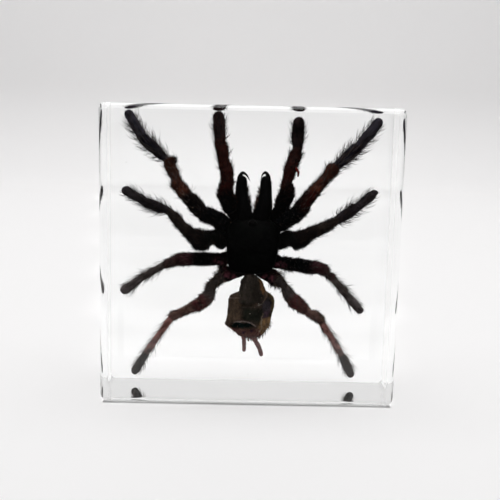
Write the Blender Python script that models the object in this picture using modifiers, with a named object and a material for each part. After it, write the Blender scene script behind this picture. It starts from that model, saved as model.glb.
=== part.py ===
"""A tarantula cast in an upright, square block of clear resin.

The block is one casting. It is parted here on an upright plane, so that the spider lies in a
pocket that is open at the parting. Lengths are in millimetres until they reach Blender, which
gets metres. X runs across the block, Y from its front face to its back face, Z up from its base.
"""

import math

import bmesh
import bpy
from mathutils import Vector

MM = 0.001

# Driving dimensions of the block
BLOCK_SIDE = 73.0
BLOCK_DEPTH = 30.0
EDGE_RADIUS = 1.2
BACK_EDGE_RADIUS = 0.25
EDGE_SEGMENTS = 3
PARTING_DEPTH = 15.2
PARTING_GAP = 0.3
POCKET_CLEARANCE = 0.45

# Limbs: the rounding of a joint along the limb, how full and how pinched the tube is, the facets
JOINT_REACH = 1.35
JOINT_PINCH = 0.92
NEAR_JOINT = 0.97
MID_SEGMENT = 1.04
LONG_SEGMENT = 5.0
TIP_SHOULDER = 0.86
TIP_END = 0.42
LIMB_SIDES = 8
POCKET_SIDES = 6
THIN_SIDES = 6
THIN_POCKET_SIDES = 4
SMOOTH_UP_TO = math.radians(65)

# Segment radii from the body outwards: coxa, femur, patella, tibia, metatarsus, tarsus
LEG_RADII = {
    1: (1.60, 1.84, 1.68, 1.50, 1.24, 1.20),
    2: (1.75, 1.98, 1.70, 1.30, 1.18, 1.08),
    3: (1.45, 1.52, 1.42, 1.28, 0.98, 1.16),
    4: (1.55, 1.52, 1.44, 1.16, 0.86, 1.06),
}
# A palp has no metatarsus: coxa, femur, patella, tibia, tarsus
PALP_RADII = (1.40, 1.95, 1.46, 1.48, 1.38)

# Joints of each leg from the body to the tip: (across, depth behind the front face, height)
LEGS = {
    (1, "left"): [
        (-3.0, 16.8, 41.5), (-6.5, 14.6, 43.9), (-11.8, 9.6, 46.7), (-15.9, 10.2, 50.8),
        (-21.0, 16.0, 59.0), (-27.5, 22.0, 64.5), (-31.9, 25.6, 71.2),
    ],
    (1, "right"): [
        (3.9, 16.8, 41.7), (7.7, 14.6, 44.1), (12.1, 9.6, 47.7), (15.1, 10.2, 51.9),
        (20.7, 16.0, 58.2), (26.9, 22.0, 63.3), (32.8, 25.6, 70.4),
    ],
    (2, "left"): [
        (-2.4, 16.6, 38.9), (-7.0, 15.2, 40.0), (-11.9, 8.2, 39.8), (-15.1, 10.8, 41.5),
        (-20.5, 17.0, 46.3), (-27.0, 22.4, 48.3), (-33.0, 25.6, 51.4),
    ],
    (2, "right"): [
        (3.4, 16.6, 39.0), (8.4, 15.2, 39.9), (11.8, 8.4, 40.3), (15.9, 11.0, 42.3),
        (21.8, 17.0, 44.8), (27.2, 22.4, 48.0), (32.6, 25.6, 52.0),
    ],
    (3, "left"): [
        (-2.4, 16.6, 36.2), (-7.1, 15.3, 34.4), (-14.5, 10.6, 34.8), (-17.6, 12.2, 34.6),
        (-21.2, 17.5, 32.8), (-27.8, 22.8, 28.5), (-33.3, 26.2, 24.1),
    ],
    (3, "right"): [
        (3.4, 16.6, 36.3), (7.8, 15.3, 34.0), (15.5, 10.6, 33.6), (18.4, 12.2, 32.9),
        (21.1, 17.5, 30.3), (25.2, 22.8, 25.4), (30.0, 26.2, 20.0),
    ],
    (4, "left"): [
        (-1.6, 16.8, 31.9), (-7.0, 15.3, 29.9), (-10.6, 10.6, 24.9), (-13.5, 12.2, 22.7),
        (-19.5, 18.0, 19.2), (-26.4, 24.2, 8.6), (-30.2, 26.6, 2.0),
    ],
    (4, "right"): [
        (2.4, 16.8, 31.8), (7.4, 15.3, 29.3), (10.8, 10.6, 25.4), (14.2, 12.2, 22.5),
        (18.7, 18.0, 18.7), (24.7, 24.2, 9.0), (28.2, 26.9, 2.1),
    ],
}
PALPS = {
    "left": [
        (-2.2, 16.8, 43.0), (-4.9, 13.8, 47.3), (-6.5, 10.8, 52.1), (-5.9, 13.2, 57.0),
        (-8.0, 18.0, 64.0), (-8.5, 21.4, 71.4),
    ],
    "right": [
        (3.3, 16.8, 43.2), (7.6, 13.8, 47.7), (8.9, 10.8, 52.6), (9.4, 13.2, 56.9),
        (11.2, 18.0, 62.3), (11.7, 21.4, 70.4),
    ],
}

# Lofted forms: rings of (height, across, depth, half width, half depth), then the two end heights
CARAPACE = [
    (45.2, 0.6, 14.1, 3.4, 1.4), (44.4, 0.7, 13.8, 5.0, 2.2), (42.9, 0.8, 13.6, 6.3, 2.7),
    (40.5, 0.8, 13.7, 6.7, 2.8), (37.7, 0.7, 13.9, 6.5, 2.6), (35.0, 0.5, 13.9, 6.2, 2.5),
    (32.9, 0.4, 14.0, 5.6, 2.2), (31.6, 0.4, 14.4, 4.2, 1.6),
]
CARAPACE_ENDS = (45.6, 30.9)
THORAX = [
    (43.0, 0.6, 16.0, 4.2, 2.0), (41.0, 0.6, 16.4, 5.3, 2.5), (38.0, 0.5, 16.5, 5.6, 2.6),
    (35.2, 0.4, 16.4, 5.1, 2.4), (33.0, 0.4, 16.0, 4.0, 1.9),
]
THORAX_ENDS = (44.1, 31.8)
STERNUM = [
    (42.2, 0.5, 18.0, 1.9, 1.2), (40.4, 0.5, 18.4, 3.2, 1.6), (37.6, 0.4, 18.5, 3.8, 1.7),
    (35.2, 0.4, 18.3, 3.2, 1.5), (33.6, 0.4, 18.0, 2.0, 1.1),
]
STERNUM_ENDS = (43.0, 32.8)
EYE_MOUND = [(44.8, 0.5, 11.7, 0.8, 0.7), (44.2, 0.5, 11.4, 1.1, 0.9), (43.5, 0.5, 11.5, 0.9, 0.8)]
EYE_MOUND_ENDS = (45.2, 43.0)
CHELICERAE = {
    "left": [
        (55.2, -2.15, 15.7, 0.75, 0.85), (54.5, -2.20, 15.5, 1.20, 1.30),
        (52.1, -2.20, 15.2, 1.45, 1.65), (49.7, -2.05, 14.7, 1.75, 2.10),
        (47.5, -1.75, 14.4, 2.00, 2.40), (44.7, -1.40, 14.5, 2.20, 2.30),
    ],
    "right": [
        (55.3, 3.70, 15.7, 0.75, 0.85), (54.6, 3.70, 15.5, 1.20, 1.30),
        (52.2, 3.75, 15.2, 1.45, 1.65), (49.8, 3.45, 14.7, 1.80, 2.10),
        (47.6, 3.10, 14.4, 2.15, 2.40), (44.8, 2.40, 14.5, 2.25, 2.30),
    ],
}
CHELICERA_ENDS = (55.6, 42.9)
ABDOMEN = [
    (30.0, 0.2, 14.6, 1.3, 1.2), (28.9, 0.4, 14.5, 2.4, 2.2), (26.7, 0.5, 14.4, 3.4, 3.0),
    (25.5, 0.8, 14.5, 4.4, 3.5), (24.5, 0.8, 14.6, 5.5, 3.8), (23.2, 0.7, 14.8, 5.9, 3.9),
    (21.3, 0.6, 15.0, 5.8, 3.8), (19.3, 0.2, 15.0, 5.6, 3.6), (17.5, -0.1, 15.0, 5.4, 3.3),
    (16.0, 0.4, 15.1, 4.2, 2.9), (14.5, 0.6, 15.2, 2.8, 2.1),
]
ABDOMEN_ENDS = (31.4, 13.6)

# Each form's rings and ends, with the facets round the solid and round its pocket
FORMS = {
    "carapace": (CARAPACE, CARAPACE_ENDS, 18, 14),
    "thorax": (THORAX, THORAX_ENDS, 12, 10),
    "sternum": (STERNUM, STERNUM_ENDS, 10, 8),
    "chelicera_left": (CHELICERAE["left"], CHELICERA_ENDS, 12, 8),
    "chelicera_right": (CHELICERAE["right"], CHELICERA_ENDS, 12, 8),
    "eye_mound": (EYE_MOUND, EYE_MOUND_ENDS, 8, 8),
    "abdomen": (ABDOMEN, ABDOMEN_ENDS, 16, 10),
}

# Thin tubes: (across, depth, height) with a radius at each point
FANGS = {
    "left": [
        ((-2.90, 15.4, 54.2), 0.60), ((-2.80, 15.6, 55.4), 0.54), ((-2.10, 16.1, 56.0), 0.42),
        ((-1.00, 16.8, 55.6), 0.28), ((-0.20, 17.3, 54.6), 0.12),
    ],
    "right": [
        ((4.50, 15.4, 54.3), 0.60), ((4.40, 15.6, 55.6), 0.54), ((3.75, 16.1, 56.2), 0.42),
        ((2.95, 16.8, 55.9), 0.28), ((2.50, 17.3, 55.0), 0.12),
    ],
}
SPINNERETS = {
    "left": [
        ((-0.90, 15.4, 15.0), 0.55), ((-0.90, 15.6, 13.5), 0.50), ((-0.85, 16.1, 12.0), 0.44),
        ((-0.80, 16.5, 10.5), 0.34),
    ],
    "right": [
        ((1.40, 15.4, 15.1), 0.60), ((1.60, 15.7, 13.7), 0.55), ((2.80, 16.2, 11.7), 0.44),
        ((3.60, 16.6, 9.3), 0.26),
    ],
}
PALP_SPUR = [((10.3, 13.5, 58.0), 0.42), ((11.4, 13.2, 57.7), 0.36), ((11.8, 12.9, 56.0), 0.24)]

CUTICLE_COLOUR = (0.025, 0.016, 0.014)
CUTICLE_ROUGHNESS = 0.45
RESIN_COLOUR = (0.93, 0.95, 0.96)
RESIN_ROUGHNESS = 0.02
RESIN_ALPHA = 0.25
RESIN_IOR = 1.5


def clear_scene():
    for obj in list(bpy.data.objects):
        bpy.data.objects.remove(obj, do_unlink=True)


def new_collection(name):
    collection = bpy.data.collections.new(name)
    bpy.context.scene.collection.children.link(collection)
    return collection


def place(across, depth, height):
    """A point of the block, given by its depth behind the front face, in metres."""
    return Vector((across, depth - BLOCK_DEPTH / 2, height)) * MM


def new_object(name, mesh, collection, is_helper):
    obj = bpy.data.objects.new(name, mesh)
    collection.objects.link(obj)
    obj.hide_render = is_helper
    obj.display_type = "WIRE" if is_helper else "TEXTURED"
    return obj


def material(name, colour, roughness):
    finish = bpy.data.materials.new(name)
    finish.use_nodes = True
    finish.diffuse_color = (*colour, 1.0)
    shader = finish.node_tree.nodes["Principled BSDF"]
    shader.inputs["Base Color"].default_value = (*colour, 1.0)
    shader.inputs["Roughness"].default_value = roughness
    shader.inputs["Metallic"].default_value = 0.0
    return finish


def clear_resin():
    finish = material("clear_resin", RESIN_COLOUR, RESIN_ROUGHNESS)
    finish.diffuse_color = (*RESIN_COLOUR, RESIN_ALPHA)
    shader = finish.node_tree.nodes["Principled BSDF"]
    shader.inputs["Transmission Weight"].default_value = 1.0
    shader.inputs["IOR"].default_value = RESIN_IOR
    return finish


def shade_round(mesh):
    mesh.shade_smooth()
    mesh.set_sharp_from_angle(angle=SMOOTH_UP_TO)


def tube(name, points, radii, sides, collection):
    """A closed round tube through the points, made a mesh so that Booleans can use it."""
    curve = bpy.data.curves.new(name, "CURVE")
    curve.dimensions = "3D"
    curve.bevel_depth = MM
    curve.bevel_resolution = sides // 2 - 2
    curve.use_fill_caps = True
    spline = curve.splines.new("POLY")
    spline.points.add(len(points) - 1)
    for spline_point, point, radius in zip(spline.points, points, radii):
        spline_point.co = (*place(*point), 1.0)
        spline_point.radius = radius
    drawn = new_object(name + "_curve", curve, collection, is_helper=True)
    bpy.context.view_layer.update()
    graph = bpy.context.evaluated_depsgraph_get()
    mesh = bpy.data.meshes.new_from_object(drawn.evaluated_get(graph))
    mesh.name = name
    bm = bmesh.new()
    bm.from_mesh(mesh)
    bmesh.ops.remove_doubles(bm, verts=bm.verts, dist=0.01 * MM)
    bmesh.ops.recalc_face_normals(bm, faces=bm.faces)
    bm.to_mesh(mesh)
    bm.free()
    shade_round(mesh)
    solid = new_object(name, mesh, collection, is_helper=True)
    solid.matrix_world = drawn.matrix_world
    bpy.data.objects.remove(drawn, do_unlink=True)
    return solid


def lofted(name, rings, ends, sides, collection, widen=lambda radius, sides: radius):
    """A round form with its axis upright: a sphere whose rings are moved out to the given ones."""
    grow = widen(0.0, sides)
    bm = bmesh.new()
    bmesh.ops.create_uvsphere(bm, u_segments=sides, v_segments=len(rings) + 1, radius=1.0)
    for vert in bm.verts:
        level = round((len(rings) + 1) * math.acos(max(-1.0, min(1.0, vert.co.z))) / math.pi)
        angle = math.atan2(vert.co.y, vert.co.x)
        if level == 0:
            _, across, depth, _, _ = rings[0]
            vert.co = place(across, depth, ends[0] + grow)
        elif level == len(rings) + 1:
            _, across, depth, _, _ = rings[-1]
            vert.co = place(across, depth, ends[1] - grow)
        else:
            height, across, depth, half_width, half_depth = rings[level - 1]
            x = across + widen(half_width, sides) * math.cos(angle)
            y = depth + widen(half_depth, sides) * math.sin(angle)
            vert.co = place(x, y, height)
    bmesh.ops.recalc_face_normals(bm, faces=bm.faces)
    mesh = bpy.data.meshes.new(name)
    bm.to_mesh(mesh)
    bm.free()
    shade_round(mesh)
    return new_object(name, mesh, collection, is_helper=True)


def limb_points(joints, radii):
    """Points and radii down a limb: full in mid segment, pinched and rounded off at each joint."""
    joints = [Vector(joint) for joint in joints]
    points = [joints[0]]
    sizes = [radii[0]]
    last = len(radii) - 1
    for index, radius in enumerate(radii):
        start, end = joints[index], joints[index + 1]
        along = (end - start).normalized()
        if index > 0:
            before = (start - joints[index - 1]).normalized()
            points.append(start + (along - before) * JOINT_REACH / 4)
            sizes.append(JOINT_PINCH * (radii[index - 1] + radius) / 2)
            points.append(start + along * JOINT_REACH)
            sizes.append(radius * NEAR_JOINT)
        if (end - start).length > LONG_SEGMENT:
            points.append((start + end) / 2)
            sizes.append(radius * MID_SEGMENT)
        if index < last:
            points.append(end - along * JOINT_REACH)
            sizes.append(radius * NEAR_JOINT)
    tip, along = joints[-1], (joints[-1] - joints[-2]).normalized()
    points += [tip - along * radii[-1], tip]
    sizes += [radii[-1] * TIP_SHOULDER, radii[-1] * TIP_END]
    return points, sizes


def pocket_points(joints, radii):
    """A plainer path round a limb, with two points a joint."""
    joints = [Vector(joint) for joint in joints]
    points = [joints[0]]
    sizes = [radii[0]]
    for index in range(1, len(radii)):
        before = (joints[index] - joints[index - 1]).normalized()
        along = (joints[index + 1] - joints[index]).normalized()
        points += [joints[index] - before * JOINT_REACH, joints[index] + along * JOINT_REACH]
        sizes += [radii[index - 1] * MID_SEGMENT, radii[index] * MID_SEGMENT]
    along = (joints[-1] - joints[-2]).normalized()
    points += [joints[-1] - along * radii[-1], joints[-1] + along * POCKET_CLEARANCE]
    sizes += [radii[-1], radii[-1] * TIP_END]
    return points, [clear_of(size, POCKET_SIDES) for size in sizes]


def clear_of(radius, sides):
    """Radius of a regular tube whose flats clear a round one of the given radius."""
    return (radius + POCKET_CLEARANCE) / math.cos(math.pi / sides)


def union(target, piece):
    """Joins a piece to the target. Bent tubes meet themselves at the joints, so self is tested."""
    step = target.modifiers.new("union_" + piece.name, "BOOLEAN")
    step.operation = "UNION"
    step.solver = "EXACT"
    step.use_self = True
    step.object = piece


def cut(target, cutter):
    """Cuts with a clean, closed cutter. The exact solver leaves nothing of the front half here."""
    step = target.modifiers.new("cut_" + cutter.name, "BOOLEAN")
    step.operation = "DIFFERENCE"
    step.solver = "MANIFOLD"
    step.object = cutter


def fuse(name, pieces, collection, is_helper):
    """One solid from pieces that overlap."""
    joined = new_object(name, pieces[0].data.copy(), collection, is_helper)
    for piece in pieces[1:]:
        union(joined, piece)
    return joined


def limbs():
    """Name, joints and segment radii of each leg and palp."""
    for (pair, side), joints in LEGS.items():
        yield f"leg_{pair}_{side}", joints, LEG_RADII[pair]
    for side, joints in PALPS.items():
        yield f"palp_{side}", joints, PALP_RADII


def thin_tubes():
    """Name, points and radii of each fang, spinneret and spur."""
    routes = {f"fang_{side}": route for side, route in FANGS.items()}
    routes |= {f"spinneret_{side}": route for side, route in SPINNERETS.items()}
    routes["palp_spur"] = PALP_SPUR
    for name, route in routes.items():
        points, radii = zip(*route)
        yield name, points, radii


def spider_pieces(collection):
    pieces = [
        lofted(name, rings, ends, sides, collection)
        for name, (rings, ends, sides, _) in FORMS.items()
    ]
    for name, joints, radii in limbs():
        pieces.append(tube(name, *limb_points(joints, radii), LIMB_SIDES, collection))
    for name, points, radii in thin_tubes():
        pieces.append(tube(name, points, radii, THIN_SIDES, collection))
    return pieces


def pocket_pieces(collection):
    """Coarser and wider copies of the spider's forms, which together cut its pocket."""
    pieces = [
        lofted(name + "_pocket", rings, ends, sides, collection, clear_of)
        for name, (rings, ends, _, sides) in FORMS.items()
    ]
    for name, joints, radii in limbs():
        points, sizes = pocket_points(joints, radii)
        pieces.append(tube(name + "_pocket", points, sizes, POCKET_SIDES, collection))
    for name, points, radii in thin_tubes():
        sizes = [clear_of(radius, THIN_POCKET_SIDES) for radius in radii]
        pieces.append(tube(name + "_pocket", points, sizes, THIN_POCKET_SIDES, collection))
    return pieces


def box(name, low, high, collection):
    """A block with its faces square to the axes, from its lowest to its highest corner."""
    bm = bmesh.new()
    bmesh.ops.create_cube(bm, size=1.0)
    low, high = place(*low), place(*high)
    for vert in bm.verts:
        vert.co = [a + (b - a) * (c + 0.5) for a, b, c in zip(low, high, vert.co)]
    mesh = bpy.data.meshes.new(name)
    bm.to_mesh(mesh)
    bm.free()
    return new_object(name, mesh, collection, is_helper=False)


def round_edges(block, front_radius, back_radius):
    """Rounds the edges that run front to back in full, and those at each end to its own radius."""
    bm = bmesh.new()
    bm.from_mesh(block.data)
    weight = bm.edges.layers.float.new("bevel_weight_edge")
    middle = sum(vert.co.y for vert in bm.verts) / len(bm.verts)
    for edge in bm.edges:
        first, second = (vert.co.y < middle for vert in edge.verts)
        end_radius = front_radius if first else back_radius
        edge[weight] = (end_radius if first == second else EDGE_RADIUS) / EDGE_RADIUS
    bm.to_mesh(block.data)
    bm.free()
    bevel = block.modifiers.new("rounded_edges", "BEVEL")
    bevel.width = EDGE_RADIUS * MM
    bevel.segments = EDGE_SEGMENTS
    bevel.limit_method = "WEIGHT"


def resin_half(name, depths, radii, pocket, parts):
    """The block from one depth to another, with the pocket cut out of it."""
    low = (-BLOCK_SIDE / 2, depths[0], 0)
    high = (BLOCK_SIDE / 2, depths[1], BLOCK_SIDE)
    half = box(name, low, high, parts)
    round_edges(half, *radii)
    cut(half, pocket)
    return half


def main():
    clear_scene()
    parts = new_collection("tarantula_in_resin_block")
    cutters = new_collection("cutters")
    spider = fuse("tarantula", spider_pieces(cutters), parts, is_helper=False)
    spider.data.materials.append(material("dried_cuticle", CUTICLE_COLOUR, CUTICLE_ROUGHNESS))
    pocket = fuse("pocket", pocket_pieces(cutters), cutters, is_helper=True)
    resin = clear_resin()
    front_end = PARTING_DEPTH - PARTING_GAP / 2
    back_start = PARTING_DEPTH + PARTING_GAP / 2
    halves = (
        resin_half("resin_front", (0, front_end), (EDGE_RADIUS, 0), pocket, parts),
        resin_half("resin_back", (back_start, BLOCK_DEPTH), (0, BACK_EDGE_RADIUS), pocket, parts),
    )
    for half in halves:
        half.data.materials.append(resin)


main()
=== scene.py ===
# %% [markdown]
# # A tarantula in a block of clear resin
#
# The real object is one casting. A dried, spread tarantula was laid in a square mould, clear resin
# was poured over it, and the hard block was sanded and polished. So there are two jobs here: a
# clear solid with true optics, and a dark, hairy animal that is seen through it against a white
# studio sweep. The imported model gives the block's size and the spider's place.

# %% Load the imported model
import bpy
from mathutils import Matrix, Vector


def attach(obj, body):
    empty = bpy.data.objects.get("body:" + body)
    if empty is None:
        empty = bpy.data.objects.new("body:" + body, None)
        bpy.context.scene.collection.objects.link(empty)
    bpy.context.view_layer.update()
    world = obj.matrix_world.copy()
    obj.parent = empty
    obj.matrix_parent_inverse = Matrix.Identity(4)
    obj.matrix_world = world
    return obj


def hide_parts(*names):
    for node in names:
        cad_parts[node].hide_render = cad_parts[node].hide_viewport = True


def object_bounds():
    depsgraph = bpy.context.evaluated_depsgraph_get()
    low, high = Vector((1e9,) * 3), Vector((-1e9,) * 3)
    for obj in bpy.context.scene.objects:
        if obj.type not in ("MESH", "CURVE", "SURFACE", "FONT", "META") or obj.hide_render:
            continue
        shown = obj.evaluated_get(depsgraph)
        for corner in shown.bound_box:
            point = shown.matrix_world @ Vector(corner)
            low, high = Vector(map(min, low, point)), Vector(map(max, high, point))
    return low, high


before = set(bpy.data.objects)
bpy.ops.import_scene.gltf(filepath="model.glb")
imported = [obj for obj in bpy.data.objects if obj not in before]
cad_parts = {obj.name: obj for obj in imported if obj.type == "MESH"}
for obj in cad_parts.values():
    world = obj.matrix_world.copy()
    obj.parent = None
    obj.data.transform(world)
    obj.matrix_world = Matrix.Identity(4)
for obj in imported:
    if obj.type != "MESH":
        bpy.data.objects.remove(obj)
CAD_BOX = [list(corner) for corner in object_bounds()]

import math

import bmesh
import bpy
import numpy as np
from mathutils import Matrix, Vector, noise

MM = 0.001
lowest, highest = (np.array(corner) / MM for corner in CAD_BOX)
BLOCK_WIDTH, BLOCK_DEPTH, BLOCK_HEIGHT = highest - lowest
print(f"block {BLOCK_WIDTH:.1f} x {BLOCK_DEPTH:.1f} x {BLOCK_HEIGHT:.1f} mm, nodes {sorted(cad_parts)}")

# %% [markdown]
# ## The camera
#
# The photograph was taken from close by, a little above the middle of the block, with a slight
# roll. A camera is set by where it stands, the three angles it is turned by, and its focal length.
# One could move it by eye until the pictures agree. Here the numbers were fitted to the outline of
# the block, whose size is known, so that the perspective is right from corner to corner.

# %% Place the camera
CAMERA_ACROSS = -2.2
CAMERA_DISTANCE = 199.3
CAMERA_HEIGHT = 70.7
TIPPED_DOWN = math.radians(9.12)
TURNED_RIGHT = math.radians(0.62)
ROLLED_LEFT = math.radians(1.28)
FOCAL_LENGTH = 60.5
SENSOR_WIDTH = 36.0
NEAREST_SEEN = 10.0

scene = bpy.context.scene
camera = bpy.data.objects.new("camera", bpy.data.cameras.new("camera"))
scene.collection.objects.link(camera)
camera.data.sensor_width = SENSOR_WIDTH
camera.data.lens = FOCAL_LENGTH
camera.data.clip_start = NEAREST_SEEN * MM
turn = Matrix.Rotation(-TURNED_RIGHT, 4, "Z") @ Matrix.Rotation(math.pi / 2 - TIPPED_DOWN, 4, "X")
stand = Vector((CAMERA_ACROSS, -CAMERA_DISTANCE - BLOCK_DEPTH / 2, CAMERA_HEIGHT)) * MM
camera.matrix_world = Matrix.Translation(stand) @ turn @ Matrix.Rotation(ROLLED_LEFT, 4, "Z")
scene.camera = camera
print("camera at", [round(value, 4) for value in stand])

# %% [markdown]
# ## A few helpers
#
# Everything below is measured in millimetres as (across, depth, height): depth counts from the
# front face of the block towards its back. One function turns such points into Blender's metres.
# Colours are written as sRGB hex values, as a colour picker shows them, and shaders need linear
# light, so one function converts them. Another adds a shader node with its settings and links.

# %% Helpers for points, colours and nodes
def metres(points):
    """Points as (across, depth, height) in millimetres, turned into Blender's x, y, z."""
    return (np.asarray(points, float) - (0, BLOCK_DEPTH / 2, 0)) * MM


def unit(vectors):
    return vectors / (np.linalg.norm(vectors, axis=-1, keepdims=True) + 1e-9)


def linear(hex_colour):
    """An sRGB hex colour as linear red, green and blue."""
    channels = [int(hex_colour[i:i + 2], 16) / 255 for i in (1, 3, 5)]
    return [c / 12.92 if c <= 0.04045 else ((c + 0.055) / 1.055) ** 2.4 for c in channels]


def new_material(name):
    material = bpy.data.materials.new(name)
    material.use_nodes = True
    return material, material.node_tree.nodes["Principled BSDF"]


def add_node(material, kind, settings=(), **links):
    """Adds a node. Settings are its fields or sockets, and links join sockets to other outputs."""
    node = material.node_tree.nodes.new(kind)
    for key, value in dict(settings).items():
        if key in node.inputs:
            node.inputs[key].default_value = value
        else:
            setattr(node, key, value)
    for socket, source in links.items():
        material.node_tree.links.new(source, node.inputs[socket.replace("_", " ")])
    return node


print("an sRGB mid grey of #808080 is", round(linear("#808080")[0], 3), "in linear light")

# %% [markdown]
# Blender keeps a mesh, which is the shape, apart from the object that places it in the scene. Three helpers make
# meshes, from lists of points and faces or from bmesh, the editor for code, and put them in the scene. Each piece
# then rides on the imported model and takes its finish from a slot.

# %% Helpers for meshes and pieces
def mesh_of_points(name, points, faces):
    """A mesh from points in millimetres and faces that index them."""
    mesh = bpy.data.meshes.new(name)
    mesh.from_pydata([tuple(point) for point in metres(points)], [], faces)
    return mesh


def mesh_of_bmesh(name, bm):
    """A mesh from what bmesh has built, which is then freed."""
    mesh = bpy.data.meshes.new(name)
    bm.to_mesh(mesh)
    bm.free()
    return mesh


def place(name, data):
    """Puts a mesh or a lamp in the scene."""
    thing = bpy.data.objects.new(name, data)
    scene.collection.objects.link(thing)
    return thing


def new_piece(name, mesh, materials):
    """Puts a mesh in the scene as a piece of the object that takes its finish from a slot."""
    piece = place(name, mesh)
    for material in materials:
        mesh.materials.append(material)
    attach(piece, "root")
    return piece


# %% [markdown]
# ## The resin
#
# This is clear casting resin, an unsaturated polyester or epoxy, that was wet sanded and buffed
# like a lens. To the eye it is nearly water: it bends light as glass does, its faces mirror the
# studio faintly, and only a long path shows its tint. So it is a plain transmission shader with the
# resin's own index of refraction, and the tint is absorption inside and not a surface colour.

# %% Clear casting resin, polished
RESIN_IOR = 1.52
RESIN_TINT = "#f4fbfa"
ABSORPTION_PER_METRE = 4.0

resin, shader = new_material("casting_resin_polished")
shader.inputs["Base Color"].default_value = (1, 1, 1, 1)
shader.inputs["Roughness"].default_value = 0.0
shader.inputs["Transmission Weight"].default_value = 1.0
shader.inputs["IOR"].default_value = RESIN_IOR
absorption = add_node(resin, "ShaderNodeVolumeAbsorption", {
    "Color": (*linear(RESIN_TINT), 1), "Density": ABSORPTION_PER_METRE})
resin_output = resin.node_tree.nodes["Material Output"]
resin.node_tree.links.new(absorption.outputs["Volume"], resin_output.inputs["Volume"])
print("resin index", RESIN_IOR)

# %% [markdown]
# ## The block
#
# The mould gave the front and side edges a small radius, while the back, which was the open face
# of the mould, was sanded flat and keeps a crisp edge. A cube with a bevel weight on each edge
# makes both from one modifier. The radius matters more than its size suggests: it is what
# gathers the thin dark and bright lines round a real block. In the CAD model the casting is parted
# in two, and this one clear piece replaces both halves.

# %% Make the clear block
UPRIGHT_EDGE_RADIUS = 2.4
FRONT_EDGE_RADIUS = 1.5
SIDE_EDGE_RADIUS = 1.4
BACK_EDGE_RADIUS = 0.03
EDGE_SEGMENTS = 10

bm = bmesh.new()
bmesh.ops.create_cube(bm, size=1.0)
for vert in bm.verts:
    vert.co = Vector((vert.co.x * BLOCK_WIDTH, vert.co.y * BLOCK_DEPTH, (vert.co.z + 0.5) * BLOCK_HEIGHT)) * MM
weight = bm.edges.layers.float.new("bevel_weight_edge")
for edge in bm.edges:
    back_ends = sum(vert.co.y > 0 for vert in edge.verts)
    upright = abs(edge.verts[0].co.z - edge.verts[1].co.z) > BLOCK_HEIGHT * MM / 2
    front_radius = UPRIGHT_EDGE_RADIUS if upright else FRONT_EDGE_RADIUS
    edge[weight] = (front_radius, SIDE_EDGE_RADIUS, BACK_EDGE_RADIUS)[back_ends] / UPRIGHT_EDGE_RADIUS
block_mesh = mesh_of_bmesh("clear_block", bm)
block_mesh.shade_smooth()
block = new_piece("clear_block", block_mesh, [resin])
bevel = block.modifiers.new("rounded_edges", "BEVEL")
bevel.width = UPRIGHT_EDGE_RADIUS * MM
bevel.segments = EDGE_SEGMENTS
bevel.limit_method = "WEIGHT"
bevel.harden_normals = True
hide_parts("resin_front", "resin_back")
print("block edges rounded by", FRONT_EDGE_RADIUS, "mm at the front and", BACK_EDGE_RADIUS, "mm at the back")

# %% [markdown]
# ## The spider's cuticle
#
# A spider's shell is chitin, hardened and tanned to near black on the carapace and jaws, thinner
# and redder on the legs, and soft and pink between the segments. Resin wets it, and resin bends
# light almost as much as chitin does, so the shell loses its shine: that is why the spider reads as
# a dark, matt shape. The shader says so with an index of refraction just above 1, the ratio of
# the two. The colour follows the segments, so it is stored on the mesh, and a fine grain breaks it up.

# %% Chitin cuticle, grown and wetted by resin
WETTED_IOR = 1.08
GRAIN_SIZE = 0.12
PATCH_SIZE = 1.6


def cuticle(name, roughness, grain_depth, bump_strength):
    """A tanned skin: the mesh's own tint, darkened in patches and broken by a fine grain."""
    material, shader = new_material(name)
    spot = add_node(material, "ShaderNodeTexCoord").outputs["Object"]
    tint = add_node(material, "ShaderNodeVertexColor", {"layer_name": "tint"}).outputs["Color"]
    patches = add_node(material, "ShaderNodeTexNoise", {"Scale": 1 / (PATCH_SIZE * MM), "Detail": 4.0}, Vector=spot)
    grain = add_node(material, "ShaderNodeTexNoise", {"Scale": 1 / (GRAIN_SIZE * MM), "Detail": 2.0}, Vector=spot)
    shade = add_node(material, "ShaderNodeMapRange", {
        "From Min": 0.3, "From Max": 0.7, "To Min": 1 - grain_depth, "To Max": 1 + grain_depth / 2},
        Value=patches.outputs["Fac"])
    fine = add_node(material, "ShaderNodeMapRange", {
        "From Min": 0.3, "From Max": 0.7, "To Min": 1 - grain_depth / 2, "To Max": 1 + grain_depth / 2},
        Value=grain.outputs["Fac"])
    both = add_node(material, "ShaderNodeMath", {"operation": "MULTIPLY"})
    material.node_tree.links.new(shade.outputs["Result"], both.inputs[0])
    material.node_tree.links.new(fine.outputs["Result"], both.inputs[1])
    colour = add_node(material, "ShaderNodeVectorMath", {"operation": "SCALE"}, Scale=both.outputs["Value"])
    material.node_tree.links.new(tint, colour.inputs[0])
    bump = add_node(material, "ShaderNodeBump", {
        "Strength": bump_strength, "Distance": GRAIN_SIZE * MM / 2}, Height=grain.outputs["Fac"])
    material.node_tree.links.new(colour.outputs["Vector"], shader.inputs["Base Color"])
    material.node_tree.links.new(bump.outputs["Normal"], shader.inputs["Normal"])
    shader.inputs["Roughness"].default_value = roughness
    shader.inputs["IOR"].default_value = WETTED_IOR
    return material


hard_cuticle = cuticle("chitin_tanned_hard", 0.5, 0.35, 0.5)
leg_cuticle = cuticle("chitin_leg_sclerite", 0.55, 0.45, 0.4)
soft_skin = cuticle("chitin_shrivelled_skin", 0.6, 0.4, 0.6)
print("cuticle grain", GRAIN_SIZE, "mm")

# %% [markdown]
# Fangs and eyes are chitin too, with a surface grown smooth and hard, so they keep a small, sharp
# glint when the rest is matt: the fangs as polished hooks, the eyes as glassy beads. Hairs are thin
# hollow bristles of chitin, too fine for a grain to show, so their variety is in their tones: black
# ones, brown and russet ones with less pigment, and faded grey and tawny ones.

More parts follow.
